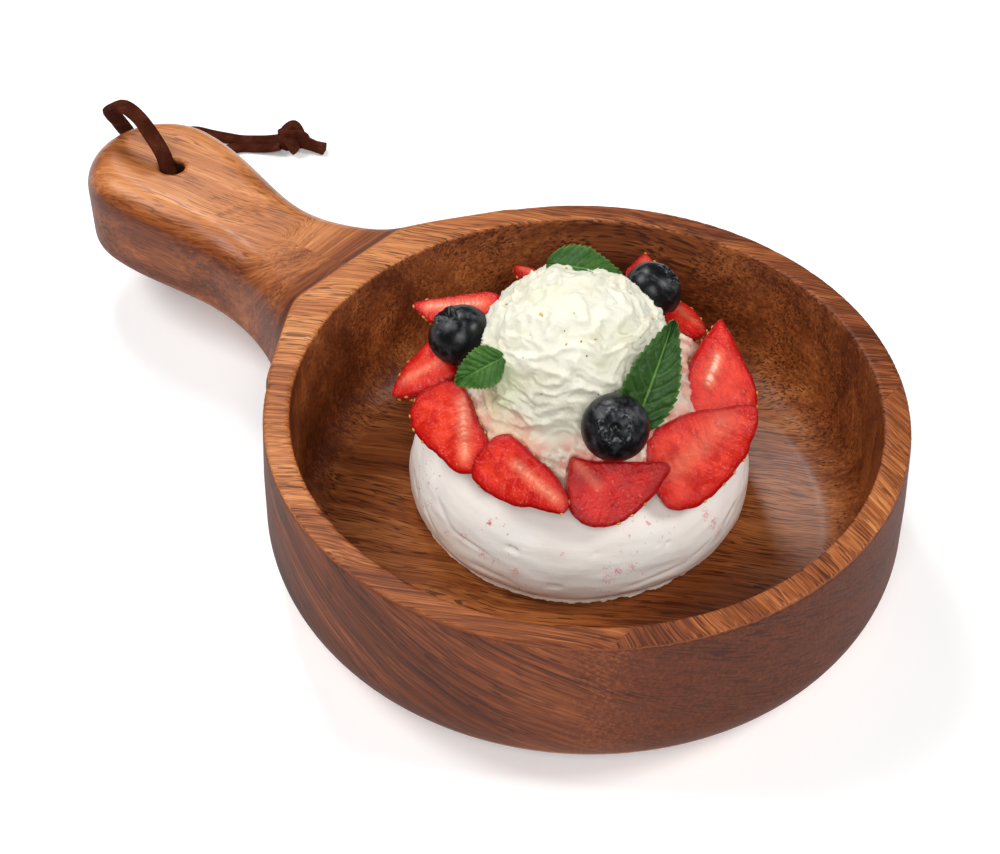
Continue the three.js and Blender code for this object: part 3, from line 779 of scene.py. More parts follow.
def make_meringue():
    profile = meringue_profile()
    radius, height = np.repeat(profile, MERINGUE_COLUMNS, axis=0).T
    angle = np.tile(np.linspace(0, 2 * np.pi, MERINGUE_COLUMNS, endpoint=False), len(profile))
    flat = np.stack([radius * np.cos(angle), radius * np.sin(angle), height], axis=1)
    level_flat = flat * (1, 1, 0)

    def round_from(bearing):
        return np.radians((np.degrees(angle) - bearing + 180) % 360 - 180) * radius

    out = smoothstep(radius, 20, 40)
    ragged = hump(height, 0.8, 0.7) * smoothstep(radius, 42, 45)
    ragged *= 0.35 + 0.9 * hump(angle, radians(330), 0.9)
    push = 0.45 * noise(flat, (16, 16, 9)) * out
    push += 0.16 * noise(flat, (9, 9, 2.2), 5) * out
    push += 0.05 * noise(flat, 1.6, 9)
    push += ragged * (0.7 * noise(level_flat, 3, 3) + 0.45 * noise(level_flat, 1.1, 4))
    for bearing, level, lean, half, tall, depth in MERINGUE_DENTS:
        beside = round_from(bearing)
        off_line = (height - level - lean * beside) / tall
        push -= depth * np.exp(-((beside / half) ** 4) - off_line**2) * out
    marks = np.zeros(len(flat))
    for bearing, level, size, strength in MERINGUE_MARKS:
        away = np.hypot(round_from(bearing), height - level)
        marks = np.maximum(marks, strength * hump(away, 0, size) * out)
    push -= 0.25 * smoothstep(noise(flat, 2.4, 11), 0.62, 0.9) * out
    swell = 1 + 0.005 * np.cos(2 * angle + 4) + 0.004 * np.sin(5 * angle + 0.12 * height)
    grown = radius * swell + push * smoothstep(height, -0.1, 0.6)
    x = grown * np.cos(angle) + MERINGUE_LEAN[0] * height + CAKE[0]
    y = grown * np.sin(angle) + MERINGUE_LEAN[1] * height + CAKE[1]
    z = height + 0.4 * noise(flat, 12, 7) * smoothstep(height, 20, 30) + FLOOR_HEIGHT + 0.3
    rings = np.stack([x, y, np.maximum(z, FLOOR_HEIGHT + 0.1)], axis=1)
    bottom = np.array([*CAKE, FLOOR_HEIGHT + 0.3])
    top = bottom + np.array([*MERINGUE_LEAN, 1]) * MERINGUE_HEIGHT
    points = np.concatenate([[bottom], rings, [top]])
    faces = [face[::-1] for face in ball_faces(len(profile), MERINGUE_COLUMNS)]
    piece("meringue_nest", points, faces, meringue_material(), ["meringue"],
          {"mark": [0, *marks, 0]})


def meringue_material():
    s = Shader("meringue_shell")
    x, y, z = s.split()
    soft = s.noise(0.05, 3)
    color = s.ramp(soft, (0.3, (0.9, 0.835, 0.77)), (0.55, (0.93, 0.88, 0.82)), (0.8, (0.95, 0.92, 0.87)))
    # painted shade and painted reflected light: the lower part is a little darker and browner, more so on the
    # left, for the shade there and the brown light bounced off the wood
    leftwards = s.range(s.scaled(x, 0.748, s.times(y, 0.664)), 10, -45, 0.4, 0.65)
    color = s.mix(color, (0.88, 0.65, 0.47), s.range(z, 27, 12), leftwards)
    # marks of pink fruit, ragged, and fine specks in loose groups
    mark = s.times(s.value("mark"), s.range(s.noise(1.7, 4, 0.7), 0.38, 0.6))
    color = s.mix(color, (0.78, 0.34, 0.33), s.range(mark, 0.1, 0.55, 0, 0.75))
    color = s.mix(color, (0.55, 0.09, 0.1), s.range(mark, 0.55, 0.95, 0, 0.9))
    groups = s.range(s.noise(0.055, 2), 0.52, 0.64)
    dots = s.range(s.noise(0.62, 3, 0.6), 0.63, 0.69)
    color = s.mix(color, (0.66, 0.2, 0.2), groups, dots, 0.7)
    fine = s.noise(1.7, 4, 0.6)
    strokes = s.noise(1, 3, at=s.vector(s.times(x, 0.12), s.times(y, 0.12), s.times(z, 0.9)))
    s.bump(s.scaled(strokes, 0.8, s.times(fine, 0.4)), 0.22, 0.5)
    return s.finish(color, 0.4, 0.35, (0.15, (0.003, 0.002, 0.0015), 0.6))


make_meringue()

# ---- strawberries

# Each slice lies in its own plane, as in the solids: stem end, tip, and the bearing and elevation
# that the cut face is turned to. Then come how light the flesh is, the depth behind the face, the
# ends of the core's pale streak, and how pale and how wide that is. The streak and the outline of
# the face are measured along the line from stem to tip and across it.
SLICE_KEYS = ("stem", "tip", "face", "tint", "depth", "core", "streak", "outline")
STRAWBERRIES = [dict(zip(SLICE_KEYS, row)) for row in (
    ((-31.9, -23, 57.2), (-11.2, -37.2, 44.8), (-95, 45), 0.95, 8, ((7.5, 4), (22, 1)), (0.75, 2),
     [(0, 1.5), (2.5, 4.5), (7.5, 6), (13.5, 6.5), (21, 8), (24.5, 5.5), (27.5, 1), (25, -4),
      (20, -7), (15.5, -10.5), (11, -13), (6.5, -14), (2.5, -13), (0, -9.5), (-1, -3.5)]),
    ((13.1, -23.9, 50.2), (33.4, -3.2, 53), (-50, 45), 0.1, 8, ((3, 4), (8, -3)), (0.35, 1.3),
     [(2, 5.5), (6.5, 4), (13, 3), (21, 2), (27.5, 1), (28.5, -1), (26, -4), (23, -7.5), (18.5, -11),
      (14, -13.5), (9.5, -14.5), (5.5, -14), (2, -12), (0, -9), (-0.5, -5), (0.5, 0.5)]),
    ((-9.6, -29, 54.6), (18.9, -30.5, 46.2), (-75, 45), 0.75, 8, ((10.5, -0.5), (25, 0.5)), (0.7, 1.5),
     [(1, 1.5), (2.5, 4), (6, 4.5), (12.5, 4.5), (19, 5), (24.5, 4), (28.5, 2), (29.5, -1), (26, -3.5),
      (22, -6), (18.5, -8.5), (13, -11), (8, -12), (5, -12), (2, -10.5), (0.5, -7), (0, -3)]),
    ((27.4, -5.2, 47), (38.6, 29.4, 52.2), (-25, 48), 0.75, 8, ((8, -2), (26, 3)), (0.35, 3.2),
     [(13, 10), (19.5, 9.5), (27, 7), (33, 5), (36.5, 2.5), (35.5, -1.5), (31.5, -5), (27, -8.5),
      (21.5, -11), (15.5, -13), (9.5, -14), (4, -13), (0.5, -10.5), (-0.5, -6), (0, -1), (1, 4),
      (3.5, 8.5), (8, 10.2)]),
    ((32.4, 19.8, 41.5), (9.2, 48.9, 59.5), (0, 55), 0.85, 8, ((27.5, 1), (20, 3.5)), (1, 1.7),
     [(40.5, -0.5), (38, -3), (32, -6.5), (27.5, -9), (23.5, -11.5), (19, -13), (14, -12.5), (8, -9),
      (5, -2), (5, 5), (8, 10), (12, 11), (17, 10.5), (23, 10), (28.5, 7.5), (35.5, 3)]),
    ((-42, -14.8, 54.6), (-50.8, -26.5, 44.9), (-120, 55), 0.8, 8, ((2, 1), (12, 0)), (0.6, 1.5),
     [(17.5, 1), (15.5, -2), (12, -5), (6.5, -7.5), (1.5, -9), (-2, -5), (-3.5, 1), (-3, 7.5), (1, 9),
      (6, 8), (12, 6), (15.5, 3.5)]),
    ((-44.8, 14.3, 55.6), (-68.4, 1.8, 49.1), (-100, 65), 1, 6, ((6, 0), (22, 0.5)), (0.8, 1.6),
     [(27.5, -1), (19, -2.7), (11, -3.7), (3.5, -4), (0, -2), (1, 3), (8.5, 5), (19, 6.5), (24, 3.5)]),
    ((-12.3, 49.3, 54.2), (5, 49.6, 50.2), (60, 60), 0.5, 6, ((4, 0), (13, 0)), (0.4, 2),
     [(1, 0), (3, 5), (5, 7.5), (9.5, 7), (14, 4.5), (17.5, 0), (18, -6), (15, -9), (8, -9), (3, -6)]),
    ((-17, 49, 55), (-28.2, 61.9, 54.5), (110, 65), 0.4, 6, ((4, 0), (12, 0)), (0.4, 2),
     [(0, 0), (2, 5), (6, 6.5), (11, 4.5), (15, 2), (17, 0), (15, -2), (11, -4.5), (6, -6), (2, -4.5)]),
    ((-40, 34.5, 52.5), (-57.2, 34.4, 51), (150, 65), 0.6, 6, ((4, 0), (13, 0)), (0.4, 1.5),
     [(0, 0), (2, 3), (6, 4), (11, 3), (15, 1.5), (17.2, 0), (15, -1.5), (11, -3), (6, -3.5), (2, -2.5)]),
)]
FACE_SWELL = 0.5
FACE_ROOM = 9
RIM_COUNT = 132
SEED_SPACING = 3.3
SEED_SIZE = (0.66, 0.42, 0.36)  # half length, half width and half thickness


def slice_axes(spec):
    """The stem end, and the ways along a slice or leaf, out of its face and across it."""
    start = np.array(spec["stem"], float)
    along = unit(spec["tip"] - start)
    out = direction(*spec["face"])
    out = unit(out - along * out.dot(along))
    return start, along, out, np.cross(out, along)


def slice_rim(spec, seed):
    """Points evenly round the outline of a slice's cut face, in its plane, and their middle."""
    curve = through(spec["outline"], 10, closed=True)
    curve = np.concatenate([curve, curve[:1]])
    travelled = np.concatenate([[0], np.cumsum(np.linalg.norm(np.diff(curve, axis=0), axis=1))])
    at = np.linspace(0, travelled[-1], RIM_COUNT, endpoint=False)
    rim = np.stack([np.interp(at, travelled, numbers) for numbers in curve.T], axis=1)
    flat = np.concatenate([rim, np.full((RIM_COUNT, 1), seed)], axis=1)
    middle = rim.mean(axis=0)
    wobble = 0.35 * noise(flat, 3.5) + 0.12 * noise(flat, 1.2)
    return rim + unit(rim - middle) * wobble[:, None], middle


def slice_point(spec, rim, middle, share, lift):
    """Points in space at a share of the way from a slice's middle to its rim, lifted off its plane."""
    start, along, out, side = slice_axes(spec)
    flat = middle + (rim - middle) * share
    return start + flat[:, :1] * along + flat[:, 1:] * side + lift * out, flat


def back_ring(turn, depth):
    """Share and lift of a ring behind the face, by how far it is turned from the cut edge."""
    return cos(turn) ** 0.8, -0.25 - depth * sin(turn)


def slice_mesh(spec, seed):
    rim, middle = slice_rim(spec, seed)
    turns = np.radians([0, 4, *np.linspace(9, 84, 18)])
    rings = [(0, FACE_SWELL)]
    rings += [(share, FACE_SWELL * (1 - share**3) - 0.25 * smoothstep(share, 0.9, 1))
              for share in (*np.linspace(0.05, 0.9, 20), 0.94, 0.97, 0.99)]
    face_points = 1 + (len(rings) - 1) * RIM_COUNT
    rings += [back_ring(turn, spec["depth"]) for turn in turns]
    rings.append((0, -0.25 - spec["depth"]))
    parts = [slice_point(spec, rim if share > 0 else rim[:1], middle, share, lift) for share, lift in rings]
    points, flats = [np.concatenate(lists) for lists in zip(*parts)]
    faced = np.arange(len(points)) < face_points
    out = slice_axes(spec)[2]
    lump = 0.35 * noise(points, 6, seed) + 0.16 * noise(points, 2.2, seed) + 0.06 * noise(points, 0.9, seed)
    away = np.where(faced[:, None], out, unit(points - points[-1] + 4 * out))
    points = points + away * (lump * np.where(faced, 1, 0.6))[:, None]
    core = np.array(spec["core"], float)
    core_way = unit(core[1] - core[0])
    ahead = (flats - core[0]) @ core_way
    beside = (flats - core[0]) @ np.array([-core_way[1], core_way[0]])
    beyond = np.maximum(np.maximum(-ahead, ahead - np.linalg.norm(core[1] - core[0])), 0)
    strength, width = spec["streak"]
    return points, [face[::-1] for face in ball_faces(len(rings) - 2, RIM_COUNT)], {
        "streak": strength * hump(np.hypot(beside, beyond * 0.8), 0, width),
        "rim": -outline_distance(flats[:, 0], flats[:, 1], rim), "facing": faced, "ahead": ahead,
        "beside": beside, "tint": np.full(len(points), spec["tint"]), "seed": np.full(len(points), seed),
    }


def slice_seeds(spec, seed):
    """Small flat seeds, set into the skin in staggered rows behind the rim of the cut face."""
    rim, middle = slice_rim(spec, seed)
    start, along, out, side = slice_axes(spec)
    centre = start + middle[0] * along + middle[1] * side
    from_cake = unit((centre - (*CREAM_BED, 0)) * (1, 1, 0))
    way_round = np.linalg.norm(np.roll(rim, -1, axis=0) - rim, axis=1).sum()
    grain, grain_faces = ball_points(4, 8), ball_faces(4, 8)
    made = []
    for row, turn in enumerate(np.radians([1, 17, 38, 60])):
        count = int(way_round * cos(turn) / (SEED_SPACING if row else 1.7 * SEED_SPACING))
        for n in range(count):
            shift = 0.5 * (row % 2) + 0.25 * sin(5.1 * n + seed)
            pick = int((n + shift) / count * RIM_COUNT) % RIM_COUNT
            here, lower = [slice_point(spec, rim[pick:pick + 1], middle, *back_ring(at, spec["depth"]))[0][0]
                           for at in (turn, turn + 0.1)]
            # along the cut edge they show only on the side that hangs over the meringue
            if row == 0 and (from_cake.dot(here - centre) < 3 or sin(7.3 * n + seed) > 0.35):
                continue
            following = rim[(pick + 1) % RIM_COUNT] - rim[pick - 1]
            away = unit(np.cross(following[0] * along + following[1] * side, lower - here))
            if away.dot(here - centre) < 0:
                away = -away
            long_way = unit(along - away * along.dot(away) + 1e-6 * side)
            axes = np.stack([long_way, np.cross(away, long_way), away])
            made.append((here + grain * SEED_SIZE @ axes, grain_faces))
    return made


def strawberry_material():
    s = Shader("strawberry_flesh")
    beside = s.value("beside")
    rim = s.value("rim")
    tint = s.value("tint")
    # fibres run from the core out to the rim, bending towards the tip
    fibre_at = s.vector(s.scaled(s.math("ABSOLUTE", beside), -0.45, s.value("ahead")),
                        s.times(beside, 0.14), s.value("seed"))
    fibres = s.noise(0.95, 3, 0.6, 0.3, fibre_at)
    cloud = s.noise(0.2, 4, 0.6)
    fine = s.noise(1.3, 3, 0.6)
    deep = s.mix((0.4, 0.004, 0.004), (0.6, 0.008, 0.005), tint)
    light = s.mix((0.6, 0.008, 0.007), (0.9, 0.06, 0.028), tint)
    flesh = s.mix(deep, light, s.range(rim, 0.3, 4.5), s.range(cloud, 0.34, 0.62, 0.1, 1))
    flesh = s.mix(flesh, (0.9, 0.13, 0.07), s.range(fibres, 0.54, 0.74), 0.22)
    flesh = s.mix(flesh, (0.4, 0.004, 0.004), s.range(fibres, 0.46, 0.3), 0.25)
    pale = s.times(s.value("streak"), s.range(fibres, 0.25, 0.6, 0.5, 1))
    flesh = s.mix(flesh, (0.94, 0.36, 0.2), pale, 0.75)
    flesh = s.mix(flesh, (0.93, 0.56, 0.42), s.range(pale, 0.55, 1))
    # painted glints: small pale specks in the flesh stand in for wet highlights
    flesh = s.mix(flesh, (0.92, 0.34, 0.24), s.range(fine, 0.63, 0.7), 0.4)
    flesh = s.mix(flesh, (0.3, 0.003, 0.004), s.range(rim, 1.3, 0.2), 0.8)
    skin_color = s.ramp(cloud, (0.3, (0.34, 0.005, 0.006)), (0.7, (0.52, 0.014, 0.01)))
    s.bump(s.scaled(fibres, 0.6, s.times(fine, 0.7)), 0.8, 0.45)
    return s.finish(s.mix(skin_color, flesh, s.value("facing")), s.range(fine, 0.35, 0.65, 0.11, 0.28), 0.2,
                    (0.05, (0.003, 0.0006, 0.0004), 0.4))


def seed_material():
    s = Shader("strawberry_seeds")
    tint = s.noise(0.7, 1)
    return s.finish(s.ramp(tint, (0.35, (0.52, 0.2, 0.03)), (0.65, (0.74, 0.42, 0.07))), 0.4)


def make_strawberries():
    flesh = strawberry_material()
    seeds = []
    for number, spec in enumerate(STRAWBERRIES):
        seed = 3 * number
        points, faces, values = slice_mesh(spec, seed)
        piece(f"strawberry_slice_{number + 1}", points, faces, flesh,
              [f"strawberry_{number + 1}"], values)
        seeds += slice_seeds(spec, seed)
    points, faces = merged(seeds)
    piece("strawberry_seeds", points, faces, seed_material())


make_strawberries()

# ---- blueberries

# middle, radius, bearing and elevation of the crown, its turn, how starry it is, and its size
BLUEBERRIES = [
    ((-37.7, -10.8, 63.8), 9.1, (200, 60), 0.3, 0.34, 0.26),
    ((-12.9, 46.1, 58.5), 8.7, (55, 45), 1, 0.15, 0.3),
    ((19.2, -11.2, 64), 9.3, (-52, 44), 0.1, 0.07, 0.36),
]
CROWN_POINTS = 5
CROWN_DEPTH = 1.6
BERRY_SQUASH = 0.93
BERRY_ROWS = 90
BERRY_COLUMNS = 120


def blueberry_material():
    s = Shader("blueberry_skin")
    rubbed = s.noise(0.5, 4, 0.7)
    share = s.times(s.range(s.noise(0.14, 4, 0.65, 0.6), 0.42, 0.66), s.range(rubbed, 0.36, 0.62))
    color = s.mix((0.0035, 0.0038, 0.0045), (0.072, 0.077, 0.086), share, 0.8)
    flakes = s.range(s.noise(1.1, 2), 0.52, 0.66)
    color = s.mix(color, (0.2, 0.21, 0.23), s.value("ring"), flakes, 0.5)
    color = s.mix(color, (0.004, 0.003, 0.003), s.value("crown"), 0.9)
    s.bump(rubbed, 0.3, 0.25)
    return s.finish(color, s.range(share, 0, 0.8, 0.3, 0.6), 0.28)


def make_blueberries():
    blue_skin = blueberry_material()
    ball = ball_points(BERRY_ROWS, BERRY_COLUMNS)
    faces = ball_faces(BERRY_ROWS, BERRY_COLUMNS)
    rho = np.hypot(ball[:, 0], ball[:, 1])
    front = ball[:, 2] > 0
    for number, (middle, radius, crown_way, spin, starry, size) in enumerate(BLUEBERRIES):
        turn = Vector((0, 0, 1)).rotation_difference(Vector(direction(*crown_way)))
        p = ball.copy()
        angle = np.arctan2(p[:, 1], p[:, 0]) + spin
        star = 1 + starry * np.cos(CROWN_POINTS * angle) + 0.08 * noise(p, 0.3, number)
        dent = CROWN_DEPTH * hump(rho, 0, size * star, 3)
        lip = 0.55 * hump(rho, (size + 0.1) * star, 0.07) * (0.8 + 0.8 * noise(p, 0.2, number + 5))
        hollow = 0.5 * hump(rho, 0, 0.75)
        scar = -0.9 * hump(rho, 0, 0.11, 4)
        p[:, 2] *= BERRY_SQUASH
        p *= radius * (1 + 0.012 * noise(p, 0.7, number + 2)[:, None])
        p[:, 2] += np.where(front, lip - dent * 0.9 - hollow + scar, 0.45 * hump(rho, 0, 0.14))
        p = np.array([turn @ Vector(q) for q in p]) + middle
        piece(f"blueberry_whole_{number + 1}", p, faces, blue_skin, [f"blueberry_{number + 1}"],
              {"crown": front * hump(rho, 0, 0.14), "ring": front * hump(rho, (size + 0.08) * star, 0.1)})


make_blueberries()

# ---- mint leaves

LEAF_KEYS = ("stem", "tip", "face", "half_width", "fold", "curl", "light")
LEAVES = [dict(zip(LEAF_KEYS, row)) for row in (
    ((-16.6, -15.8, 71.3), (-27, -24.3, 61), (-80, 35), 5.5, 0.8, 1, 0.75),
    ((20.6, -5, 57.8), (16.2, 16.5, 82.4), (-38, 35), 7.5, 1.4, 1.5, 0.2),
    ((-28.1, 15.4, 79.3), (-10.6, 27.9, 76.2), (-40, 60), 6, 1.4, 2.2, 0.4),
)]
LEAF_THICKNESS = 0.8
LEAF_VEINS = 8
LEAF_TEETH = 15
LEAF_ROWS = 150
LEAF_COLUMNS = 57


def mint_material():
    s = Shader("mint_leaf_green")
    across = s.math("ABSOLUTE", s.value("across"))
    cloud = s.noise(0.22, 3)
    dark = s.ramp(cloud, (0.3, (0.009, 0.036, 0.006)), (0.7, (0.024, 0.072, 0.01)))
    pale = s.ramp(cloud, (0.3, (0.038, 0.13, 0.018)), (0.7, (0.08, 0.215, 0.03)))
    color = s.mix(dark, pale, s.value("light"))
    color = s.mix(color, (0.07, 0.19, 0.035), s.value("vein"), 0.35)
    color = s.mix(color, (0.16, 0.32, 0.07), s.range(across, 0.07, 0.02), 0.7)
    color = s.mix(color, (0.14, 0.3, 0.04), s.range(across, 0.9, 1), 0.4)
    s.bump(s.noise(1.4, 3, 0.6), 0.5, 0.3)
    return s.finish(color, 0.42, 0.25, (0.06, (0.001, 0.002, 0.0005), 0.3))


def leaf_faces():
    """Faces of the leaf's upper and lower sheets and of the border between them."""
    rows, columns = LEAF_ROWS, LEAF_COLUMNS
    count = rows * columns
    faces = grid_faces(rows, columns, closed_columns=False)
    faces = [face[::-1] for face in faces] + [[n + count for n in face] for face in faces]
    border = [*range(columns), *[i * columns + columns - 1 for i in range(1, rows)],
              *[count - 1 - j for j in range(1, columns)], *[i * columns for i in range(rows - 2, 0, -1)]]
    return faces + [[a, b, b + count, a + count] for a, b in zip(border, border[1:] + border[:1])]


def make_leaves():
    green = mint_material()
    t, v = np.meshgrid(np.linspace(0, 1, LEAF_ROWS), np.linspace(-1, 1, LEAF_COLUMNS), indexing="ij")
    t, v = t.ravel(), v.ravel()
    from_rib = np.abs(v)
    # side veins leave the rib and bend towards the tip, and the leaf puckers between them
    phase = (t - 0.22 * from_rib**1.2) * LEAF_VEINS
    vein_gap = np.abs(phase - np.round(phase))
    vein = hump(vein_gap, 0, 0.09) * (1 - 0.5 * from_rib)
    groove = hump(v, 0, 0.08)
    pucker = 0.6 * (1 - hump(vein_gap, 0, 0.22)) * np.minimum(1, from_rib * 4) - 0.4 * groove
    tooth = ((t * LEAF_TEETH) % 1) ** 0.8 * smoothstep(from_rib, 0.78, 1) * smoothstep(t, 0.06, 0.2)
    wave = 0.25 * np.sin(5 * np.pi * t) * from_rib
    outline = 0.1 + 0.9 * np.sin(np.pi * (0.04 + 0.96 * t**0.75))
    thick = LEAF_THICKNESS * 0.5 * (1 - 0.55 * from_rib**3)
    for number, spec in enumerate(LEAVES):
        start, along, out, side = slice_axes(spec)
        length = np.linalg.norm(np.subtract(spec["tip"], spec["stem"]))
        base = np.stack([t * length, v * spec["half_width"], 0 * t], axis=1)
        grain = 0.32 * noise(base, 1.5, number + 4) + 0.14 * noise(base, 0.7, number + 5)
        quilt = pucker + grain * (1 - vein)
        crinkle = 0.7 * noise(base, 3.4, number) * from_rib
        lift = spec["fold"] * from_rib - spec["curl"] * (2 * t - 1) ** 2 + wave + crinkle
        width = (outline * spec["half_width"] + 0.75 * tooth - 0.2) * smoothstep(1.02 - t, 0, 0.05)
        middle = start + np.outer(t * length, along) + np.outer(v * width, side)
        upper = middle + np.outer(lift + thick + quilt * 0.6, out)
        lower = middle + np.outer(lift - thick + quilt * 0.45 - 0.25 * groove, out)
        values = {"across": [*v, *v], "vein": [*vein, *vein], "light": np.full(2 * len(t), spec["light"])}
        piece(f"mint_{number + 1}", np.concatenate([upper, lower]), leaf_faces(), green,
              [f"mint_leaf_{number + 1}"], values)


make_leaves()

# ---- cream

CREAM_REACH = 44
CREAM_PITCH = 0.6


def bed_distance(x, y, z):
    dx, dy = x - CREAM_BED[0], y - CREAM_BED[1]
    angle = np.arctan2(dy, dx)
    swell = 1 + 0.02 * np.sin(3 * angle + 1.1) + 0.012 * np.sin(7 * angle)
    heights = [CREAM_BOTTOM, 41, 44, 48, 51, 54, CREAM_TOP - 0.4]
    edge = np.interp(z, heights, [37, 39, 39.5, 38.8, 36.5, 33.5, 30.5])
    return both(np.hypot(dx, dy) - edge * swell, z - CREAM_TOP, 3)


def scoop_distance(x, y, z):
    height = SCOOP_TOP - SCOOP_MIDDLE
    dx, dy, dz = x - SCOOP[0], y - SCOOP[1], z - SCOOP_MIDDLE
    dz = np.where(dz < 0, dz * 0.35, dz)
    size = np.sqrt((dx / SCOOP_RADIUS) ** 2 + (dy / SCOOP_RADIUS) ** 2 + (dz / height) ** 2)
    return (size - 1) * height


def slice_room(spec, x, y, z):
    """The space of a strawberry slice and of what lies in front of its face."""
    start, along, out, side = slice_axes(spec)
    dx, dy, dz = x - start[0], y - start[1], z - start[2]
    u, v, w = [dx * way[0] + dy * way[1] + dz * way[2] for way in (along, side, out)]
    corners = np.array(spec["outline"], float)
    (left, low), (right, high) = corners.min(axis=0), corners.max(axis=0)
    beside = np.maximum(np.maximum(left - u, u - right), np.maximum(low - v, v - high))
    near = (beside < 3) & (w < FACE_ROOM + 3) & (w > -8)
    beside[near] = outline_distance(u[near], v[near], corners)
    return np.maximum(np.maximum(beside, w - FACE_ROOM), -w - 4)


def cream_distance(x, y, z):
    cream = either(bed_distance(x, y, z), scoop_distance(x, y, z), 7)
    cream = both(cream, CREAM_BOTTOM - z, 1)
    for spec in STRAWBERRIES:
        cream = both(cream, -slice_room(spec, x, y, z), 0.8)
    return cream


def cream_material():
    s = Shader("whipped_cream")
    soft = s.noise(0.07, 3)
    color = s.ramp(soft, (0.3, (0.74, 0.71, 0.54)), (0.6, (0.77, 0.755, 0.63)), (0.8, (0.79, 0.78, 0.67)))
    blotches = s.range(s.noise(0.2, 3, 0.6, 0.5), 0.28, 0.56)
    color = s.mix(color, (0.66, 0.25, 0.19), s.value("stain"), blotches, 0.95)
    swirl = s.range(s.noise(0.12, 3, 0.6, 0.8), 0.35, 0.65, 0.35, 1)
    color = s.mix(color, (0.74, 0.55, 0.35), s.value("beige"), swirl, 0.75)
    color = s.mix(color, (0.55, 0.7, 0.26), s.value("mint"), 0.3)
    s.bump(s.noise(0.75, 4, 0.6, 0.5), 0.5, 0.6)
    return s.finish(color, 0.42, 0.4, (0.12, (0.002, 0.0017, 0.0012), 0.5))


def cream_relief(points):
    """Scraped layers and folds of the cream, in millimetres outwards."""
    warped = points + 3.6 * np.stack([noise(points, 9, n) for n in (1, 2, 3)], axis=1)
    warped += 0.9 * np.stack([noise(points, 3, n) for n in (11, 12, 13)], axis=1)
    layers = ridges(warped, (15, 15, 5.2), 4) ** 1.6 - 0.4
    folds = ridges(warped, (7.5, 7.5, 2.6), 6) ** 1.6 - 0.4
    scrapes = noise(warped, (6, 6, 1.3), 9)
    crumbs = ridges(warped, (2.6, 2.6, 1.5), 7) ** 2 - 0.3
    rough = smoothstep(noise(points, 8, 21), -0.15, 0.45)
    broad = 1.5 * layers + 0.6 * noise(points, 11, 8)
    return broad + 1.1 * folds * (0.5 + 0.5 * rough) + 0.4 * scrapes + 0.75 * crumbs * rough


def near_to(points, spots, low, high):
    """1 nearer than low to one of the spots, and 0 farther than high."""
    away = np.min([np.linalg.norm(points - np.asarray(spot), axis=1) for spot in spots], axis=0)
    return 1 - smoothstep(away, low, high)


def make_cream():
    low = (CREAM_BED[0] - CREAM_REACH, CREAM_BED[1] - CREAM_REACH, CREAM_BOTTOM - 3)
    high = (CREAM_BED[0] + CREAM_REACH, CREAM_BED[1] + CREAM_REACH, SCOOP_TOP + 3)
    points, faces = skin(cream_distance, low, high, CREAM_PITCH)
    points, normals = settled(cream_distance, points, faces)
    fruit = []
    for spec in STRAWBERRIES:
        start, along, out, side = slice_axes(spec)
        fruit += [start + u * along + v * side for u, v in spec["outline"]]
    calm = 1 - 0.55 * near_to(points, fruit, 1, 6)
    stain = near_to(points, fruit, 2, 9)
    points = points + normals * (cream_relief(points) * calm)[:, None]
    points[:, 2] = np.minimum(points[:, 2], SCOOP_TOP + 0.8)
    mint = near_to(points, [(-17, -22, 62), (-13, -20, 67)], 2, 8.5)
    beige = near_to(points, [(-19, -24, 56), (-8, -27, 53), (-30, -14, 56)], 3, 12)
    piece("cream_swirl", points, faces, cream_material(), ["cream_bed", "cream_scoop"],
          {"stain": stain, "mint": mint, "beige": beige})
    return BVHTree.FromPolygons(points.tolist(), faces.tolist())


cream_tree = make_cream()

# ---- flecks on the cream

# bearing and elevation from the middle of the scoop
VANILLA_SPECKS = [
    (-95, 48), (-88, 35), (-40, 43), (-62, 58), (-70, 18), (10, 40), (60, 50), (120, 35), (160, 48),
    (-160, 30), (-52, 70), (-35, 20),
]
ZEST_FLECKS = [(-58, 50), (-30, 52), (-100, 62), (40, 35), (140, 55), (-148, 42)]
FRUIT_FLECKS = [(-44, 52), (100, 40)]


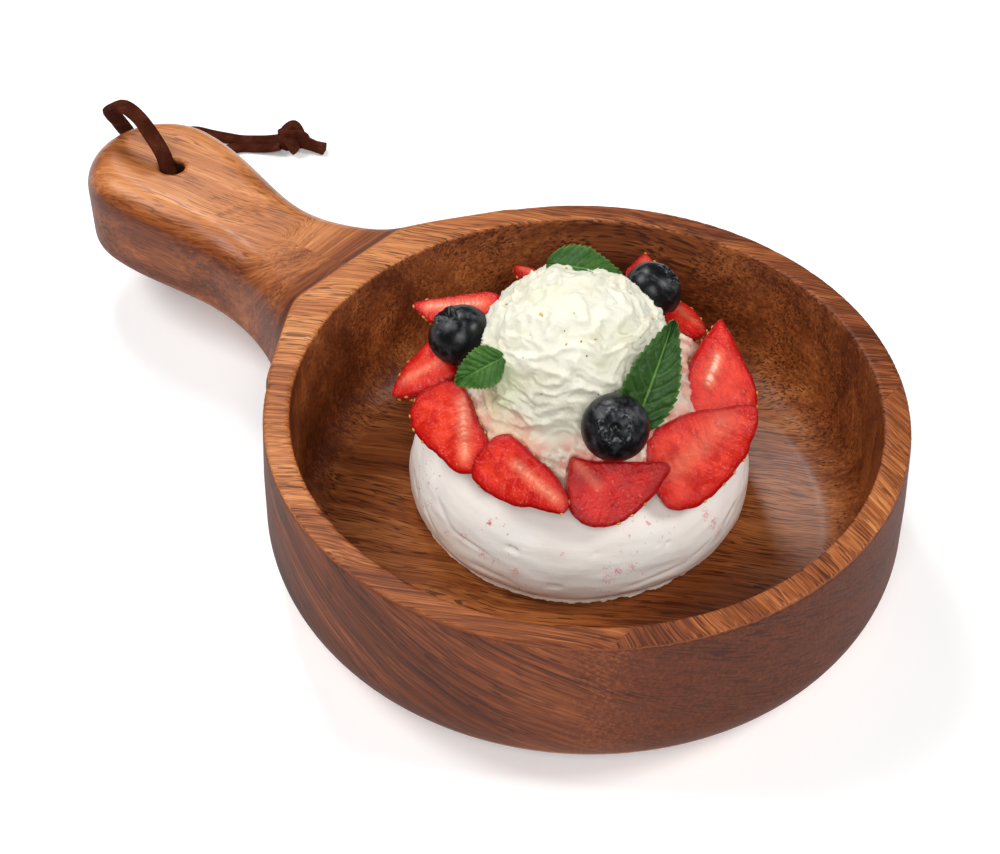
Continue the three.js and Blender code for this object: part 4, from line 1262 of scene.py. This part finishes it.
def make_flecks(name, spots, size, color):
    s = Shader(name)
    material = s.finish(s.ramp(s.noise(1.5, 1), (0.35, [0.6 * n for n in color]), (0.65, color)), 0.5)
    middle = Vector((*SCOOP, SCOOP_MIDDLE))
    shape = ball_points(5, 8)
    parts = []
    for number, spot in enumerate(spots):
        way = Vector(direction(*spot))
        hit, normal, *_ = cream_tree.ray_cast(middle + way * 60, -way)
        away = np.array(normal if normal.dot(way) > 0 else -normal)
        long_way = unit(np.cross(away, direction(137 * number, 20)))
        scale = size * (0.8 + 0.4 * ((number * 7) % 5) / 4)
        grain = shape * (1.25, 0.85, 0.5) * scale * (1 + 0.15 * noise(shape, 0.8, number))[:, None]
        axes = np.stack([long_way, np.cross(away, long_way), away])
        parts.append((np.array(hit) + grain @ axes, ball_faces(5, 8)))
    points, faces = merged(parts)
    piece(name, points, faces, material)


make_flecks("vanilla_specks", VANILLA_SPECKS, 0.22, (0.03, 0.018, 0.012))
make_flecks("zest_flecks", ZEST_FLECKS, 0.5, (0.72, 0.42, 0.1))
make_flecks("fruit_flecks", FRUIT_FLECKS, 0.4, (0.5, 0.03, 0.02))

# ---- floor and light

FLOOR_HALF = 3  # metres, as are the lights' places and sizes
LIGHT_TARGET = (-0.02, 0, 0.03)


def make_floor():
    mesh = bpy.data.meshes.new("floor")
    h = FLOOR_HALF
    mesh.from_pydata([(-h, -h, 0), (h, -h, 0), (h, h, 0), (-h, h, 0)], [], [(0, 1, 2, 3)])
    s = Shader("pale_floor")
    color = s.ramp(s.noise(0.02, 2), (0.3, (0.93, 0.93, 0.93)), (0.7, (0.95, 0.95, 0.95)))
    mesh.materials.append(s.finish(color, 0.9, 0, Emission_Color=(1, 1, 1), Emission_Strength=0.17))
    floor = in_scene("floor", mesh)


def make_light(name, at, size, power):
    data = bpy.data.lights.new(name, "AREA")
    data.shape = "RECTANGLE"
    data.size, data.size_y = size
    data.energy = power
    light = in_scene(name, data)
    light.location = at
    light.rotation_euler = (Vector(LIGHT_TARGET) - Vector(at)).to_track_quat("-Z", "Y").to_euler()


def make_world():
    world = bpy.data.worlds.new("studio")
    world.use_nodes = True
    background = world.node_tree.nodes["Background"]
    background.inputs["Color"].default_value = (1, 1, 1, 1)
    background.inputs["Strength"].default_value = 0.08
    bpy.context.scene.world = world


make_floor()
make_world()
make_light("front", (0.56, -0.71, 0.96), (0.6, 0.5), 6.8)
make_light("low_front", (0.55, -0.75, 0.55), (0.6, 0.4), 2.4)
make_light("left", (-0.95, -0.5, 1.2), (0.6, 0.6), 11.5)
make_light("right", (0.95, 0.75, 1.25), (0.6, 0.6), 13.6)
make_light("back", (-0.78, 0.4, 0.98), (0.22, 0.45), 5.5)
